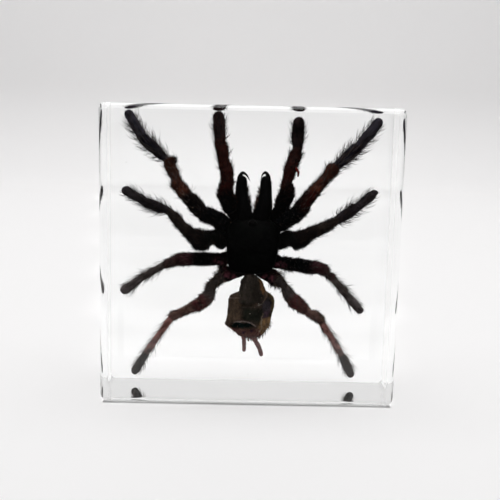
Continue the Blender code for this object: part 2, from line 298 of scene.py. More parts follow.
# %% Fang, eye and hair materials
def plain(name, hex_colour, roughness, ior):
    material, shader = new_material(name)
    shader.inputs["Base Color"].default_value = (*linear(hex_colour), 1)
    shader.inputs["Roughness"].default_value = roughness
    shader.inputs["IOR"].default_value = ior
    return material


fang_horn = plain("chitin_fang_polished", "#0a0908", 0.25, 1.2)
eye_lens = plain("chitin_eye_lens", "#141210", 0.1, 1.25)
SETA_COLOURS = {
    "black": "#080707", "brown": "#2a1e19", "grey": "#4a4442", "russet": "#3a1d14", "tawny": "#7d6858",
}
setae = {tone: plain(f"chitin_seta_{tone}", colour, 0.6, WETTED_IOR) for tone, colour in SETA_COLOURS.items()}
print("hair tones", ", ".join(setae))

# %% [markdown]
# ## Skins from rings
#
# Each part of the spider is a closed form round a bent axis, so each is made the same way: a grid
# of points, ring after ring, whose rows go along the part and whose columns go round it. A grid is
# easy to swell, pinch, wrinkle and groove with one formula, and hairs can be rooted in its cells
# later. Column 0 faces the viewer, which is the spider's back, and the half turn is its underside.

# %% Turn a grid of rings into a skin
def skin(name, grid, tints, material):
    """A closed mesh from rings of points, with one hex tint, or a linear one for every point."""
    rings, sides, _ = grid.shape
    verts = np.vstack([grid.reshape(-1, 3), grid[0].mean(0), grid[-1].mean(0)])
    first, last = len(verts) - 2, len(verts) - 1
    faces = []
    for i in range(rings - 1):
        for j in range(sides):
            k = (j + 1) % sides
            faces.append((i * sides + j, i * sides + k, (i + 1) * sides + k, (i + 1) * sides + j))
    end = (rings - 1) * sides
    faces += [(first, (j + 1) % sides, j) for j in range(sides)]
    faces += [(last, end + j, end + (j + 1) % sides) for j in range(sides)]
    mesh = mesh_of_points(name, verts, faces)
    colours = np.ones((len(verts), 4))
    tints = linear(tints) if isinstance(tints, str) else tints
    colours[:-2, :3] = np.broadcast_to(tints, grid.shape).reshape(-1, 3)
    colours[-2:] = colours[0], colours[-3]
    layer = mesh.color_attributes.new("tint", "FLOAT_COLOR", "POINT")
    layer.data.foreach_set("color", colours.ravel())
    bm = bmesh.new()
    bm.from_mesh(mesh)
    bmesh.ops.recalc_face_normals(bm, faces=bm.faces)
    bm.to_mesh(mesh)
    bm.free()
    mesh.shade_smooth()
    return new_piece(name, mesh, [material])


def outward(grid):
    """The direction away from the middle of its own ring, for every point."""
    return unit(grid - grid.mean(axis=1, keepdims=True))


def nearness(grid, across, height, reach):
    """1 at a spot in the plane that the viewer sees, falling to 0 round it."""
    return np.exp(-((grid[..., 0] - across) ** 2 + (grid[..., 2] - height) ** 2) / reach ** 2)


def tinted(tints, hex_colour, share):
    """Tints moved towards a colour by a share of the way for every point."""
    return tints + (np.array(linear(hex_colour)) - tints) * share[..., None]


def roughened(grid, size, height, seed):
    """Moves each point out or in by a smooth noise of the given size, in millimetres."""
    offset = Vector((seed * 17.3, seed * 5.1, 0))
    lift = [noise.noise(Vector(point) / size + offset) for point in grid.reshape(-1, 3)]
    return grid + outward(grid) * (np.array(lift).reshape(grid.shape[:2] + (1,)) * height)


print("skins close their ends with one point each")

# %% [markdown]
# ## Legs and palps
#
# A tarantula's leg has seven segments: coxa, a short trochanter, femur, patella, tibia, metatarsus
# and tarsus. Each is a slightly swollen tube, narrow where a hinge of soft skin joins it to the
# next, and the tarsus ends in a blunt, brushy pad. The joints lie where the CAD model has them. The
# centre line is drawn straight from joint to joint and then averaged over a short window, which
# rounds the knees. The bare tube is a little thinner than the CAD limb, because short hair makes up
# the rest.

# %% The limbs' joints and thicknesses
# For each segment from the body outwards, the radius at its start, middle and end
LIMB_RADII = {
    1: ((1.50, 1.60, 1.60), (2.00, 1.90, 1.95), (1.85, 1.80, 1.50), (1.60, 1.26, 1.68), (0.88, 1.36, 1.42),
        (1.26, 1.24, 1.26)),
    2: ((1.60, 1.75, 1.75), (1.90, 1.95, 2.15), (2.10, 1.80, 1.50), (1.45, 1.28, 0.98), (1.06, 1.32, 1.24),
        (1.08, 1.18, 1.16)),
    3: ((1.45, 1.50, 1.55), (1.55, 1.62, 1.58), (1.70, 1.60, 1.48), (1.50, 1.20, 1.06), (0.80, 0.90, 1.02),
        (0.82, 1.12, 1.20)),
    4: ((1.50, 1.60, 1.60), (1.75, 1.40, 1.62), (1.85, 1.60, 1.40), (1.20, 1.06, 1.20), (0.90, 0.76, 0.88),
        (0.76, 1.04, 1.02)),
    "palp": ((1.40, 1.40, 1.60), (1.80, 1.95, 1.80), (1.70, 1.45, 1.52), (1.48, 1.50, 1.45), (1.30, 1.50, 1.30)),
}
LIMBS = {
    "leg_1_left": [
        (-3.0, 16.8, 41.5), (-6.5, 14.6, 43.9), (-11.8, 9.6, 46.7), (-15.9, 10.2, 50.8),
        (-21.0, 16.0, 59.0), (-27.5, 22.0, 64.5), (-31.9, 25.6, 71.2),
    ],
    "leg_1_right": [
        (3.9, 16.8, 41.7), (7.7, 14.6, 44.1), (12.1, 9.6, 47.7), (15.1, 10.2, 51.9),
        (20.7, 16.0, 58.2), (26.9, 22.0, 63.3), (32.8, 25.6, 70.4),
    ],
    "leg_2_left": [
        (-2.4, 16.6, 38.9), (-7.0, 15.2, 40.0), (-11.9, 8.2, 39.8), (-15.1, 10.8, 41.5),
        (-20.5, 17.0, 46.3), (-27.0, 22.4, 48.3), (-33.0, 25.6, 51.4),
    ],
    "leg_2_right": [
        (3.4, 16.6, 39.0), (8.4, 15.2, 39.9), (11.8, 8.4, 40.3), (15.9, 11.0, 42.3),
        (21.8, 17.0, 44.8), (27.2, 22.4, 48.0), (32.6, 25.6, 52.0),
    ],
    "leg_3_left": [
        (-2.4, 16.6, 36.2), (-7.1, 15.3, 34.6), (-14.5, 10.6, 35.0), (-17.6, 12.2, 34.6),
        (-21.2, 17.5, 32.8), (-27.8, 22.8, 28.5), (-33.3, 26.2, 24.1),
    ],
    "leg_3_right": [
        (3.4, 16.6, 36.3), (7.8, 15.3, 34.0), (15.5, 10.6, 33.6), (18.4, 12.2, 32.9),
        (21.1, 17.5, 30.3), (25.2, 22.8, 25.4), (30.0, 26.2, 20.0),
    ],
    "leg_4_left": [
        (-1.6, 16.8, 31.9), (-7.0, 15.3, 29.9), (-10.6, 10.6, 24.9), (-13.5, 12.2, 22.7),
        (-19.5, 18.0, 19.2), (-26.4, 24.2, 8.6), (-30.2, 26.6, 2.0),
    ],
    "leg_4_right": [
        (2.4, 16.8, 31.8), (7.4, 15.3, 29.3), (10.8, 10.6, 25.4), (14.2, 12.2, 22.5),
        (18.7, 18.0, 18.7), (24.7, 24.2, 9.0), (28.2, 26.9, 2.1),
    ],
    "palp_left": [
        (-2.2, 16.8, 43.0), (-4.9, 13.8, 47.3), (-6.5, 10.8, 52.1), (-5.9, 13.2, 57.0),
        (-8.0, 18.0, 64.0), (-8.6, 21.4, 71.4),
    ],
    "palp_right": [
        (3.3, 16.8, 43.2), (7.5, 13.8, 47.7), (9.0, 10.8, 52.6), (9.4, 13.2, 56.9),
        (11.2, 18.0, 62.3), (11.7, 21.4, 70.4),
    ],
}
print(len(LIMBS), "limbs")

# %% [markdown]
# A limb is made in three moves: a smooth path through its joints, rings that stand square to the
# path, and radii that swell in the middle of each segment and pinch in at each hinge.

# %% The shape of one limb
RING_STEP = 0.16
LIMB_SIDES = 24
ROUNDED_OVER = 1.0
HINGE_PINCH = 0.10
HINGE_REACH = 0.36
EVENED_OVER = 0.3
TIP_LENGTH_IN_RADII = 1.2
TIP_CUT_OFF_AT = 0.995


def smooth_path(points, step, rounding):
    """Even points along straight runs, then a moving average that rounds the corners."""
    points = np.array(points, float)
    marks = np.concatenate([[0], np.cumsum(np.linalg.norm(np.diff(points, axis=0), axis=1))])
    along = np.arange(0, marks[-1] + step / 2, step)
    path = np.column_stack([np.interp(along, marks, points[:, axis]) for axis in range(3)])
    half = max(1, round(rounding / step / 2))
    before = path[0] - np.outer(np.arange(half, 0, -1), path[1] - path[0])
    after = path[-1] + np.outer(np.arange(1, half + 1), path[-1] - path[-2])
    padded = np.vstack([before, path, after])
    window = np.ones(2 * half + 1) / (2 * half + 1)
    smooth = np.column_stack([np.convolve(padded[:, axis], window, "valid") for axis in range(3)])
    return smooth, along, marks


def ring_grid(path, radii, sides):
    """Rings square to a path. Column 0 points at the viewer, and later ones go round."""
    tangents = np.gradient(path, axis=0)
    tangents /= np.linalg.norm(tangents, axis=1, keepdims=True)
    viewer = np.array([0.0, -1.0, 0.0])
    up = viewer - tangents * (tangents @ viewer)[:, None]
    up /= np.linalg.norm(up, axis=1, keepdims=True)
    across = np.cross(tangents, up)
    angles = np.arange(sides) * 2 * math.pi / sides
    spokes = np.cos(angles)[None, :, None] * up[:, None] + np.sin(angles)[None, :, None] * across[:, None]
    return path[:, None] + spokes * np.broadcast_to(radii, (len(path),))[:, None, None]


def limb_radii(along, marks, sizes):
    """Radii from each segment's start, middle and end, pinched at the hinges and rounded off at the tip."""
    segment = np.clip(np.searchsorted(marks, along, side="right") - 1, 0, len(sizes) - 1)
    share = (along - marks[segment]) / (marks[segment + 1] - marks[segment])
    start, middle, end = np.array(sizes)[segment].T
    radii = start * (1 - share) * (1 - 2 * share) + 4 * middle * share * (1 - share) + end * share * (2 * share - 1)
    half = round(EVENED_OVER / RING_STEP)
    radii = np.convolve(np.pad(radii, half, "edge"), np.ones(2 * half + 1) / (2 * half + 1), "valid")
    for hinge in marks[1:-1]:
        radii *= 1 - HINGE_PINCH * np.exp(-((along - hinge) / HINGE_REACH) ** 2)
    reach = sizes[-1][2] * TIP_LENGTH_IN_RADII
    into_tip = np.clip((along - marks[-1] + reach) / reach, 0, TIP_CUT_OFF_AT)
    return radii * np.sqrt(1 - into_tip ** 2), segment


print("limb rings stand", RING_STEP, "mm apart, with", LIMB_SIDES, "points each")

# %% [markdown]
# Dried limbs aren't even tubes: the skin has sunk between the stiff parts, and clots of hair swell
# it elsewhere. These dents and bulges make the outline, which is all that shows of a dark leg. Each
# is a soft push on the skin, given by its place as the viewer sees it.

# %% Lumps where the dried skin bulges or sinks
# (across, height, reach, push outwards)
LUMPS = {
    "leg_1_left": [
        (-19.4, 59.4, 0.8, 0.40), (-16.8, 55.2, 1.5, -0.45), (-18.0, 50.9, 1.4, 0.30), (-12.6, 50.8, 1.5, 0.15),
        (-8.0, 42.6, 0.9, 0.35), (-10.9, 48.6, 0.9, -0.30), (-19.0, 53.0, 1.3, 0.90), (-22.2, 58.2, 1.2, -0.40),
    ],
    "leg_1_right": [
        (11.3, 50.1, 1.4, 0.20), (8.2, 42.4, 1.3, 0.35), (9.7, 48.7, 0.9, -0.45), (11.6, 45.1, 0.9, 0.35),
        (15.1, 49.1, 1.3, -0.50), (13.6, 52.6, 0.8, 0.30), (18.7, 58.7, 1.2, 0.30), (30.5, 66.2, 1.3, 0.35),
    ],
    "leg_2_left": [
        (-7.4, 41.5, 1.3, 0.90), (-10.8, 42.6, 1.6, 0.35), (-9.2, 38.4, 0.8, -0.70), (-13.4, 37.9, 1.5, 0.60),
        (-9.6, 37.6, 1.4, -0.35), (-11.2, 38.0, 0.8, 0.40), (-7.1, 38.2, 1.0, 1.00), (-12.7, 42.5, 0.8, 0.35),
        (-15.7, 44.1, 0.9, -0.30), (-18.1, 45.8, 1.0, 0.30), (-21.6, 45.6, 0.9, -0.30),
    ],
    "leg_2_right": [
        (12.3, 42.6, 1.5, 0.20), (15.2, 44.0, 1.5, 0.20), (7.8, 37.9, 1.0, 0.75), (9.9, 38.2, 1.0, -0.60),
        (15.6, 40.5, 0.9, -0.35), (9.4, 42.3, 0.8, 0.35), (32.3, 50.9, 0.9, -0.35),
    ],
    "leg_3_left": [(-6.5, 33.2, 1.1, 0.50), (-8.4, 32.9, 0.8, -0.35)],
    "leg_3_right": [
        (6.2, 32.6, 1.1, 0.50), (14.3, 32.2, 1.1, 0.30), (17.0, 31.7, 0.7, -0.40), (18.9, 30.6, 0.7, -0.35),
        (21.0, 32.3, 0.8, -0.80), (25.2, 26.8, 0.9, 0.35), (29.9, 21.7, 0.9, -0.35),
    ],
    "leg_4_left": [
        (-6.3, 32.6, 1.2, 1.30), (-7.3, 32.2, 1.0, 0.70), (-7.5, 27.6, 1.6, -1.30), (-10.4, 28.8, 1.6, 1.00),
        (-12.0, 26.2, 0.8, 0.30), (-12.5, 22.1, 0.8, 0.30), (-13.3, 25.3, 0.6, -0.30), (-14.7, 23.6, 0.9, 0.45),
    ],
    "leg_4_right": [
        (6.6, 31.9, 1.3, 0.70), (7.4, 27.4, 1.4, -0.90), (26.1, 7.8, 0.9, 0.40), (6.1, 28.3, 0.8, 0.45),
        (16.0, 22.6, 0.7, -0.30), (17.5, 21.1, 1.2, 0.35), (17.4, 18.3, 0.7, -0.30),
    ],
    "palp_left": [
        (-8.6, 50.9, 1.1, 0.35), (-8.7, 54.0, 1.0, -0.60), (-4.6, 54.0, 1.4, 0.45), (-5.2, 59.7, 1.5, -0.45),
        (-7.8, 57.4, 1.0, 0.35),
    ],
    "palp_right": [
        (6.0, 51.9, 1.0, -0.45), (7.3, 53.8, 1.1, 0.30), (8.4, 57.5, 1.2, 0.15), (9.9, 63.0, 0.7, -0.50),
        (10.5, 54.4, 1.2, -0.55),
    ],
}


def lumped(grid, lumps):
    """Pushes the skin out, or in, near a few places, as the viewer sees it."""
    away = outward(grid)
    for across, height, reach, push in lumps:
        grid = grid + away * (push * nearness(grid, across, height, reach))[..., None]
    return grid


print("lumps", sum(len(lumps) for lumps in LUMPS.values()))

# %% [markdown]
# The tint of a leg changes from segment to segment. The femur is nearly black, the tibia shows its
# red-brown chitin where light gets through, the metatarsus is a dull violet-grey, and the tarsus is
# greyed by its dense pad of hair. The rear legs are thinner and so lighter. The skin in the hinges
# next to the body is pink, and a few spots are worn lighter or stained darker.

# %% Make the bare legs and palps
SEGMENT_TINTS = {
    1: ("#080707", "#090c10", "#0b0605", "#3b1e13", "#18151f", "#34313a"),
    2: ("#0a0908", "#080a09", "#100a08", "#271e1a", "#262024", "#363033"),
    3: ("#140d0d", "#080a0e", "#3e2126", "#4c3434", "#5e5452", "#6c6464"),
    4: ("#1c1414", "#453e3c", "#573031", "#785b54", "#b8827a", "#48433f"),
    "palp": ("#080606", "#050505", "#260905", "#2a0d07", "#261b1c"),
}
TINT_BLEND = 0.35
SOFT_SKIN_TINT = "#7a4450"
# (across, height, reach)
SOFT_SPOTS = [
    (-8.1, 34.2, 0.9), (-6.8, 33.4, 0.8), (-5.8, 30.4, 1.1), (-4.2, 30.4, 0.8), (-1.8, 32.0, 0.7),
    (7.3, 33.4, 0.9), (8.4, 33.6, 0.7), (3.8, 30.5, 0.9), (5.5, 30.1, 0.9),
]
# (across, height, reach, tint)
TINT_SPOTS = {
    "leg_1_right": [
        (17.4, 54.2, 1.6, "#4a2418"), (15.2, 51.6, 1.1, "#4a1a10"), (14.0, 49.9, 1.3, "#3a140c"),
        (12.8, 48.5, 1.0, "#2c100a"),
    ],
    "palp_right": [(9.2, 53.4, 1.3, "#0c0605"), (11.2, 67.3, 1.6, "#0c0809")],
    "leg_4_left": [(-26.1, 8.9, 0.9, "#66544f")],
    "leg_4_right": [(24.6, 9.7, 1.1, "#66544f")],
}


def limb_kind(name):
    return "palp" if name.startswith("palp") else int(name[4])


def limb_tints(name, grid, along, marks):
    """Each ring's tint: its segment's own, blended at every hinge, with blotches of soft skin."""
    colours = np.array([linear(tint) for tint in SEGMENT_TINTS[limb_kind(name)]])
    tints = np.tile(colours[0], (len(along), 1))
    for index, mark in enumerate(marks[1:-1]):
        step = 1 / (1 + np.exp(-(along - mark) / (TINT_BLEND / 2)))
        tints += step[:, None] * (colours[index + 1] - colours[index])
    tints = np.repeat(tints[:, None], grid.shape[1], 1)
    if limb_kind(name) in (3, 4):
        blotches = np.array([noise.noise(Vector(point) / 0.7) for point in grid.reshape(-1, 3)])
        blotches = np.clip(blotches.reshape(grid.shape[:2]) * 1.6 + 0.5, 0, 1)
        for across, height, reach in SOFT_SPOTS:
            tints = tinted(tints, SOFT_SKIN_TINT, nearness(grid, across, height, reach) * blotches)
    for across, height, reach, tint in TINT_SPOTS.get(name, ()):
        tints = tinted(tints, tint, nearness(grid, across, height, reach))
    return tints


limb_grids, limb_facts = {}, {}
for number, (name, joints) in enumerate(LIMBS.items()):
    kind = limb_kind(name)
    path, along, marks = smooth_path(joints, RING_STEP, ROUNDED_OVER)
    radii, segment = limb_radii(along, marks, LIMB_RADII[kind])
    grid = lumped(ring_grid(path, radii, LIMB_SIDES), LUMPS.get(name, ()))
    grid = roughened(roughened(grid, 2.0, 0.16, number), 0.8, 0.10, number)
    limb_grids[name], limb_facts[name] = grid, (along, marks, segment)
    skin(name, grid, limb_tints(name, grid, along, marks), leg_cuticle)
print("leg rings", {name: len(grid) for name, grid in limb_grids.items()})

# %% [markdown]
# ## Carapace, sternum and jaws
#
# The front body has one hard plate above and one below. The upper plate, the carapace, is a low
# dome with a pit in it, the fovea, where the stomach muscles are fixed, and shallow grooves that
# run out from the pit between the legs. Near its front edge is a small mound with eight eyes. The
# jaws, or chelicerae, stand out in front like two fingers, and each ends in a hooked fang.
#
# Each of these forms is a few rings of (height, across, depth, half width, half depth), as in the
# CAD model. A cube under a subdivision modifier would give such a form as well, but rings can be
# read off a picture. Between them a smooth curve fills in.

# %% Upright forms from a few rings
def form_grid(rings, ends, count, sides, squareness=1.0):
    """A closed upright form. Squareness below 1 pushes its outline out towards a box."""
    rings = np.array(rings, float)
    heights = np.concatenate([[ends[0]], rings[:, 0], [ends[1]]])
    table = np.vstack([rings[0, 1:] * (1, 1, 0, 0), rings[:, 1:], rings[-1, 1:] * (1, 1, 0, 0)])
    at = np.interp(np.linspace(0, 1, count), np.linspace(0, 1, len(heights)), np.arange(len(heights)))
    height = spline(at, heights)
    across, depth, width, thick = (spline(at, table[:, column]) for column in range(4))
    width, thick = np.maximum(width, 0.02), np.maximum(thick, 0.02)
    angles = np.arange(sides) * 2 * math.pi / sides
    side = np.sign(np.sin(angles)) * np.abs(np.sin(angles)) ** squareness
    front = np.sign(np.cos(angles)) * np.abs(np.cos(angles)) ** squareness
    grid = np.empty((count, sides, 3))
    grid[..., 0] = across[:, None] + width[:, None] * side
    grid[..., 1] = depth[:, None] - thick[:, None] * front
    grid[..., 2] = height[:, None]
    return grid


def spline(at, values):
    """A smooth curve through evenly spaced values, read at any place between them."""
    values = np.asarray(values, float)
    padded = np.concatenate([[2 * values[0] - values[1]], values, [2 * values[-1] - values[-2]]])
    index = np.clip(at.astype(int), 0, len(values) - 2)
    t = at - index
    a, b, c, d = (padded[index + offset] for offset in range(4))
    return 0.5 * (2 * b + (c - a) * t + (2 * a - 5 * b + 4 * c - d) * t ** 2 + (3 * b - a - 3 * c + d) * t ** 3)


print("a curve through 0, 1 and 0 is", float(spline(np.array([0.5]), [0, 1, 0])[0]), "a quarter of the way")

# %% [markdown]
# The carapace starts as a plain dome. A relief is then added to the side that faces the viewer: it
# counts how deep the pit and the grooves are pressed in, and how far the head stands up.

# %% The carapace with its pit and grooves
CARAPACE = [
    (45.2, 0.6, 14.1, 3.6, 1.3), (44.4, 0.7, 13.8, 5.1, 2.1), (42.9, 0.8, 13.6, 6.4, 2.6),
    (40.5, 0.8, 13.7, 6.7, 2.7), (37.7, 0.7, 13.9, 6.5, 2.5), (35.0, 0.5, 13.9, 6.2, 2.4),
    (32.9, 0.4, 14.0, 5.6, 2.1), (31.6, 0.4, 14.4, 4.3, 1.5),
]
CARAPACE_ENDS = (45.6, 30.9)
FOVEA = (0.6, 36.6)
FOVEA_DEPTH = 0.75
GROOVE_ANGLES = (-38, -4, 30, 58, 122, 150, 184, 218)
GROOVE_DEPTH = 0.30
GROOVE_WIDTH = 0.38
GROOVE_LENGTH = 7.2
HEAD_RISE = 0.55

carapace_grid = form_grid(CARAPACE, CARAPACE_ENDS, 72, 96, squareness=0.9)
faces_viewer = np.clip((carapace_grid[:, :1, 1] + 2.2 - carapace_grid[..., 1]) / 1.5, 0, 1)
from_pit = carapace_grid[..., (0, 2)] - FOVEA
distance = np.linalg.norm(from_pit, axis=2)
bearing = np.degrees(np.arctan2(from_pit[..., 1], from_pit[..., 0]))
relief = FOVEA_DEPTH * np.exp(-(from_pit[..., 0] / 0.9) ** 2 - (from_pit[..., 1] / 0.4) ** 2)
for angle in GROOVE_ANGLES:
    off = np.radians((bearing - angle + 180) % 360 - 180) * distance
    fade = np.clip(distance / 1.5, 0, 1) * np.clip((GROOVE_LENGTH - distance) / 3, 0, 1)
    relief += GROOVE_DEPTH * np.exp(-(off / GROOVE_WIDTH) ** 2) * fade
relief -= HEAD_RISE * np.exp(-(from_pit[..., 0] / 3.2) ** 2 - ((from_pit[..., 1] - 5.0) / 3.2) ** 2)
carapace_grid[..., 1] += relief * faces_viewer
carapace_grid = roughened(carapace_grid, 0.9, 0.10, 20)
carapace_tints = np.array(linear("#050605")) * np.ones(carapace_grid.shape)
carapace_tints += np.clip(-relief, 0, 1)[..., None] * np.array(linear("#080808"))
skin("carapace", carapace_grid, carapace_tints, hard_cuticle)
print("carapace", carapace_grid.shape)

# %% [markdown]
# The underside never faces this camera, but the block can be turned round. The sternum is a hard,
# heart-shaped shield between the legs, with three pairs of small smooth dents, and the labium is a
# stub in front of it. Both lie in softer skin, so that is a form of its own under them.

# %% The sternum, labium and the soft underside
THORAX = [
    (43.0, 0.6, 16.0, 4.2, 2.0), (41.0, 0.6, 16.4, 5.3, 2.5), (38.0, 0.5, 16.5, 5.6, 2.6),
    (35.2, 0.4, 16.4, 5.1, 2.4), (33.0, 0.4, 16.0, 4.0, 1.9),
]
STERNUM = [
    (42.2, 0.5, 18.0, 1.9, 1.2), (40.4, 0.5, 18.4, 3.2, 1.6), (37.6, 0.4, 18.5, 3.8, 1.7),
    (35.2, 0.4, 18.3, 3.2, 1.5), (33.6, 0.4, 18.0, 2.0, 1.1),
]
LABIUM = [(44.0, 0.55, 17.6, 0.7, 0.8), (43.4, 0.55, 17.9, 0.95, 1.0), (42.8, 0.55, 18.0, 0.9, 0.9)]
STERNUM_DENTS = [(-1.6, 40.2), (2.4, 40.2), (-2.0, 37.8), (2.8, 37.8), (-1.3, 35.4), (2.1, 35.4)]
DENT_DEPTH = 0.22

thorax_grid = roughened(form_grid(THORAX, (44.1, 31.8), 40, 48), 1.2, 0.2, 21)
sternum_grid = roughened(form_grid(STERNUM, (43.0, 32.8), 44, 48), 0.8, 0.06, 22)
for across, height in STERNUM_DENTS:
    spot = (sternum_grid[..., 0] - across) ** 2 / 0.20 + (sternum_grid[..., 2] - height) ** 2 / 0.35
    sternum_grid[..., 1] -= DENT_DEPTH * np.exp(-spot) * (sternum_grid[..., 1] > 18.6)
labium_grid = form_grid(LABIUM, (44.4, 42.4), 16, 24)
skin("thorax", thorax_grid, "#1a0e0d", soft_skin)
skin("sternum", sternum_grid, "#0d0908", hard_cuticle)
skin("labium", labium_grid, "#170c0a", hard_cuticle)
print("sternum", sternum_grid.shape)

# %% [markdown]
# A tarantula has eight eyes on one small mound, each a glassy bead of 0.2 to 0.4 mm. Small spheres
# sunk in the mound give just their domes, and one mesh holds all eight.

# %% The eye mound and eight eyes
EYE_MOUND = [(44.8, 0.5, 11.7, 0.8, 0.7), (44.2, 0.5, 11.4, 1.1, 0.9), (43.5, 0.5, 11.5, 0.9, 0.8)]
MOUND_FRONT = 10.55
MOUND_MIDDLE = (0.5, 44.2)
MOUND_CURVES = (0.42, 0.8)
# (across, height, radius)
EYES = [
    (0.26, 44.35, 0.20), (0.74, 44.36, 0.20), (-0.22, 44.55, 0.22), (1.22, 44.56, 0.22),
    (0.06, 43.98, 0.12), (0.96, 43.98, 0.12), (-0.38, 44.12, 0.17), (1.38, 44.12, 0.17),
]

skin("eye_mound", form_grid(EYE_MOUND, (45.2, 43.0), 20, 28), "#080706", hard_cuticle)
bm = bmesh.new()
for across, height, radius in EYES:
    aside, above = abs(across - MOUND_MIDDLE[0]), abs(height - MOUND_MIDDLE[1])
    depth = MOUND_FRONT + MOUND_CURVES[0] * aside ** 2 + MOUND_CURVES[1] * above ** 2
    spot = Matrix.Translation((across, depth, height))
    bmesh.ops.create_uvsphere(bm, u_segments=12, v_segments=8, radius=radius, matrix=spot)
for vert in bm.verts:
    vert.co = metres(vert.co)
eyes = mesh_of_bmesh("eyes", bm)
eyes.shade_smooth()
new_piece("eyes", eyes, [eye_lens])
print(len(EYES), "eyes")

# %% [markdown]
# Each jaw is a stout, hard finger that hangs forward from the carapace, and its fang folds out at
# the tip like a pocket knife. Here both fangs stand half open. A fang is the limb's own kind of
# tube on a curved path, tapering to a point.

# %% The jaws and fangs
CHELICERAE = {
    "left": [
        (55.4, -2.25, 15.6, 0.85, 0.90), (54.5, -2.35, 15.5, 1.25, 1.30),
        (52.1, -2.40, 15.2, 1.48, 1.65), (49.7, -2.25, 14.7, 1.78, 2.10),
        (47.5, -1.85, 14.4, 2.05, 2.40), (44.7, -1.40, 14.5, 2.20, 2.30),
    ],
    "right": [
        (55.5, 3.62, 15.6, 0.85, 0.90), (54.6, 3.65, 15.5, 1.28, 1.30),
        (52.2, 3.66, 15.2, 1.50, 1.65), (49.8, 3.45, 14.7, 1.82, 2.10),
        (47.6, 3.10, 14.4, 2.25, 2.40), (44.8, 2.40, 14.5, 2.30, 2.30),
    ],
}
FANGS = {
    "left": [
        (-3.05, 15.3, 54.2), (-3.00, 15.4, 55.5), (-2.20, 16.0, 56.6), (-1.15, 16.8, 55.9), (-0.30, 17.3, 54.4),
    ],
    "right": [
        (4.35, 15.3, 54.4), (4.30, 15.4, 55.7), (3.50, 16.0, 56.8), (2.75, 16.8, 56.1), (2.42, 17.3, 55.0),
    ],
}
FANG_RADIUS = 0.54
FANG_TAPER = 0.94

chelicera_grids = {}
for side, rings in CHELICERAE.items():
    grid = roughened(form_grid(rings, (55.85, 42.9), 56, 32), 0.9, 0.08, 23)
    chelicera_grids[side] = grid
    skin(f"chelicera_{side}", grid, "#050505", hard_cuticle)
    path, along, marks = smooth_path(FANGS[side], 0.08, 0.9)
    taper = FANG_RADIUS * (1 - FANG_TAPER * (along / marks[-1]) ** 1.6)
    skin(f"fang_{side}", ring_grid(path, taper, 16), "#0a0908", fang_horn)
    print(side, "fang", round(marks[-1], 1), "mm long")

# %% [markdown]
# ## The abdomen
#
# The abdomen is a soft bag. In life it is round, and as it dried it sank in on itself: a lobe stands
# up at the front, hollows lie behind it, creases run across, and the thin edges let light through
# and so look amber or pink. A smooth form is made first. Then flat patches raise or sink its skin
# inside an outline and tint it, ridges follow the lines where the skin folded, and noise adds the
# fine wrinkles. A sculpted mesh could do the same, but outlines are easy to read and to change.

# %% Outlines, hollows and folds in the plane that the viewer sees
ABDOMEN = [
    (31.0, 0.0, 14.6, 1.2, 1.1), (30.4, 0.4, 14.6, 1.7, 1.5), (29.4, 0.6, 14.5, 2.5, 2.2),
    (28.0, 0.7, 14.5, 3.0, 2.7), (26.8, 0.8, 14.5, 3.6, 3.0), (26.0, 0.8, 14.5, 4.6, 3.3),
    (25.2, 0.7, 14.5, 5.4, 3.5), (24.2, 0.7, 14.6, 5.8, 3.6), (22.8, 0.7, 14.8, 5.9, 3.7),
    (21.4, 0.5, 15.0, 5.8, 3.6), (20.0, 0.2, 15.0, 5.6, 3.5), (18.8, -0.1, 15.0, 5.6, 3.3),
    (17.7, -0.1, 15.0, 5.5, 3.1), (16.6, 0.3, 15.1, 4.5, 2.8), (15.7, 0.5, 15.2, 3.5, 2.3),
    (14.9, 0.5, 15.3, 2.6, 1.8),
]
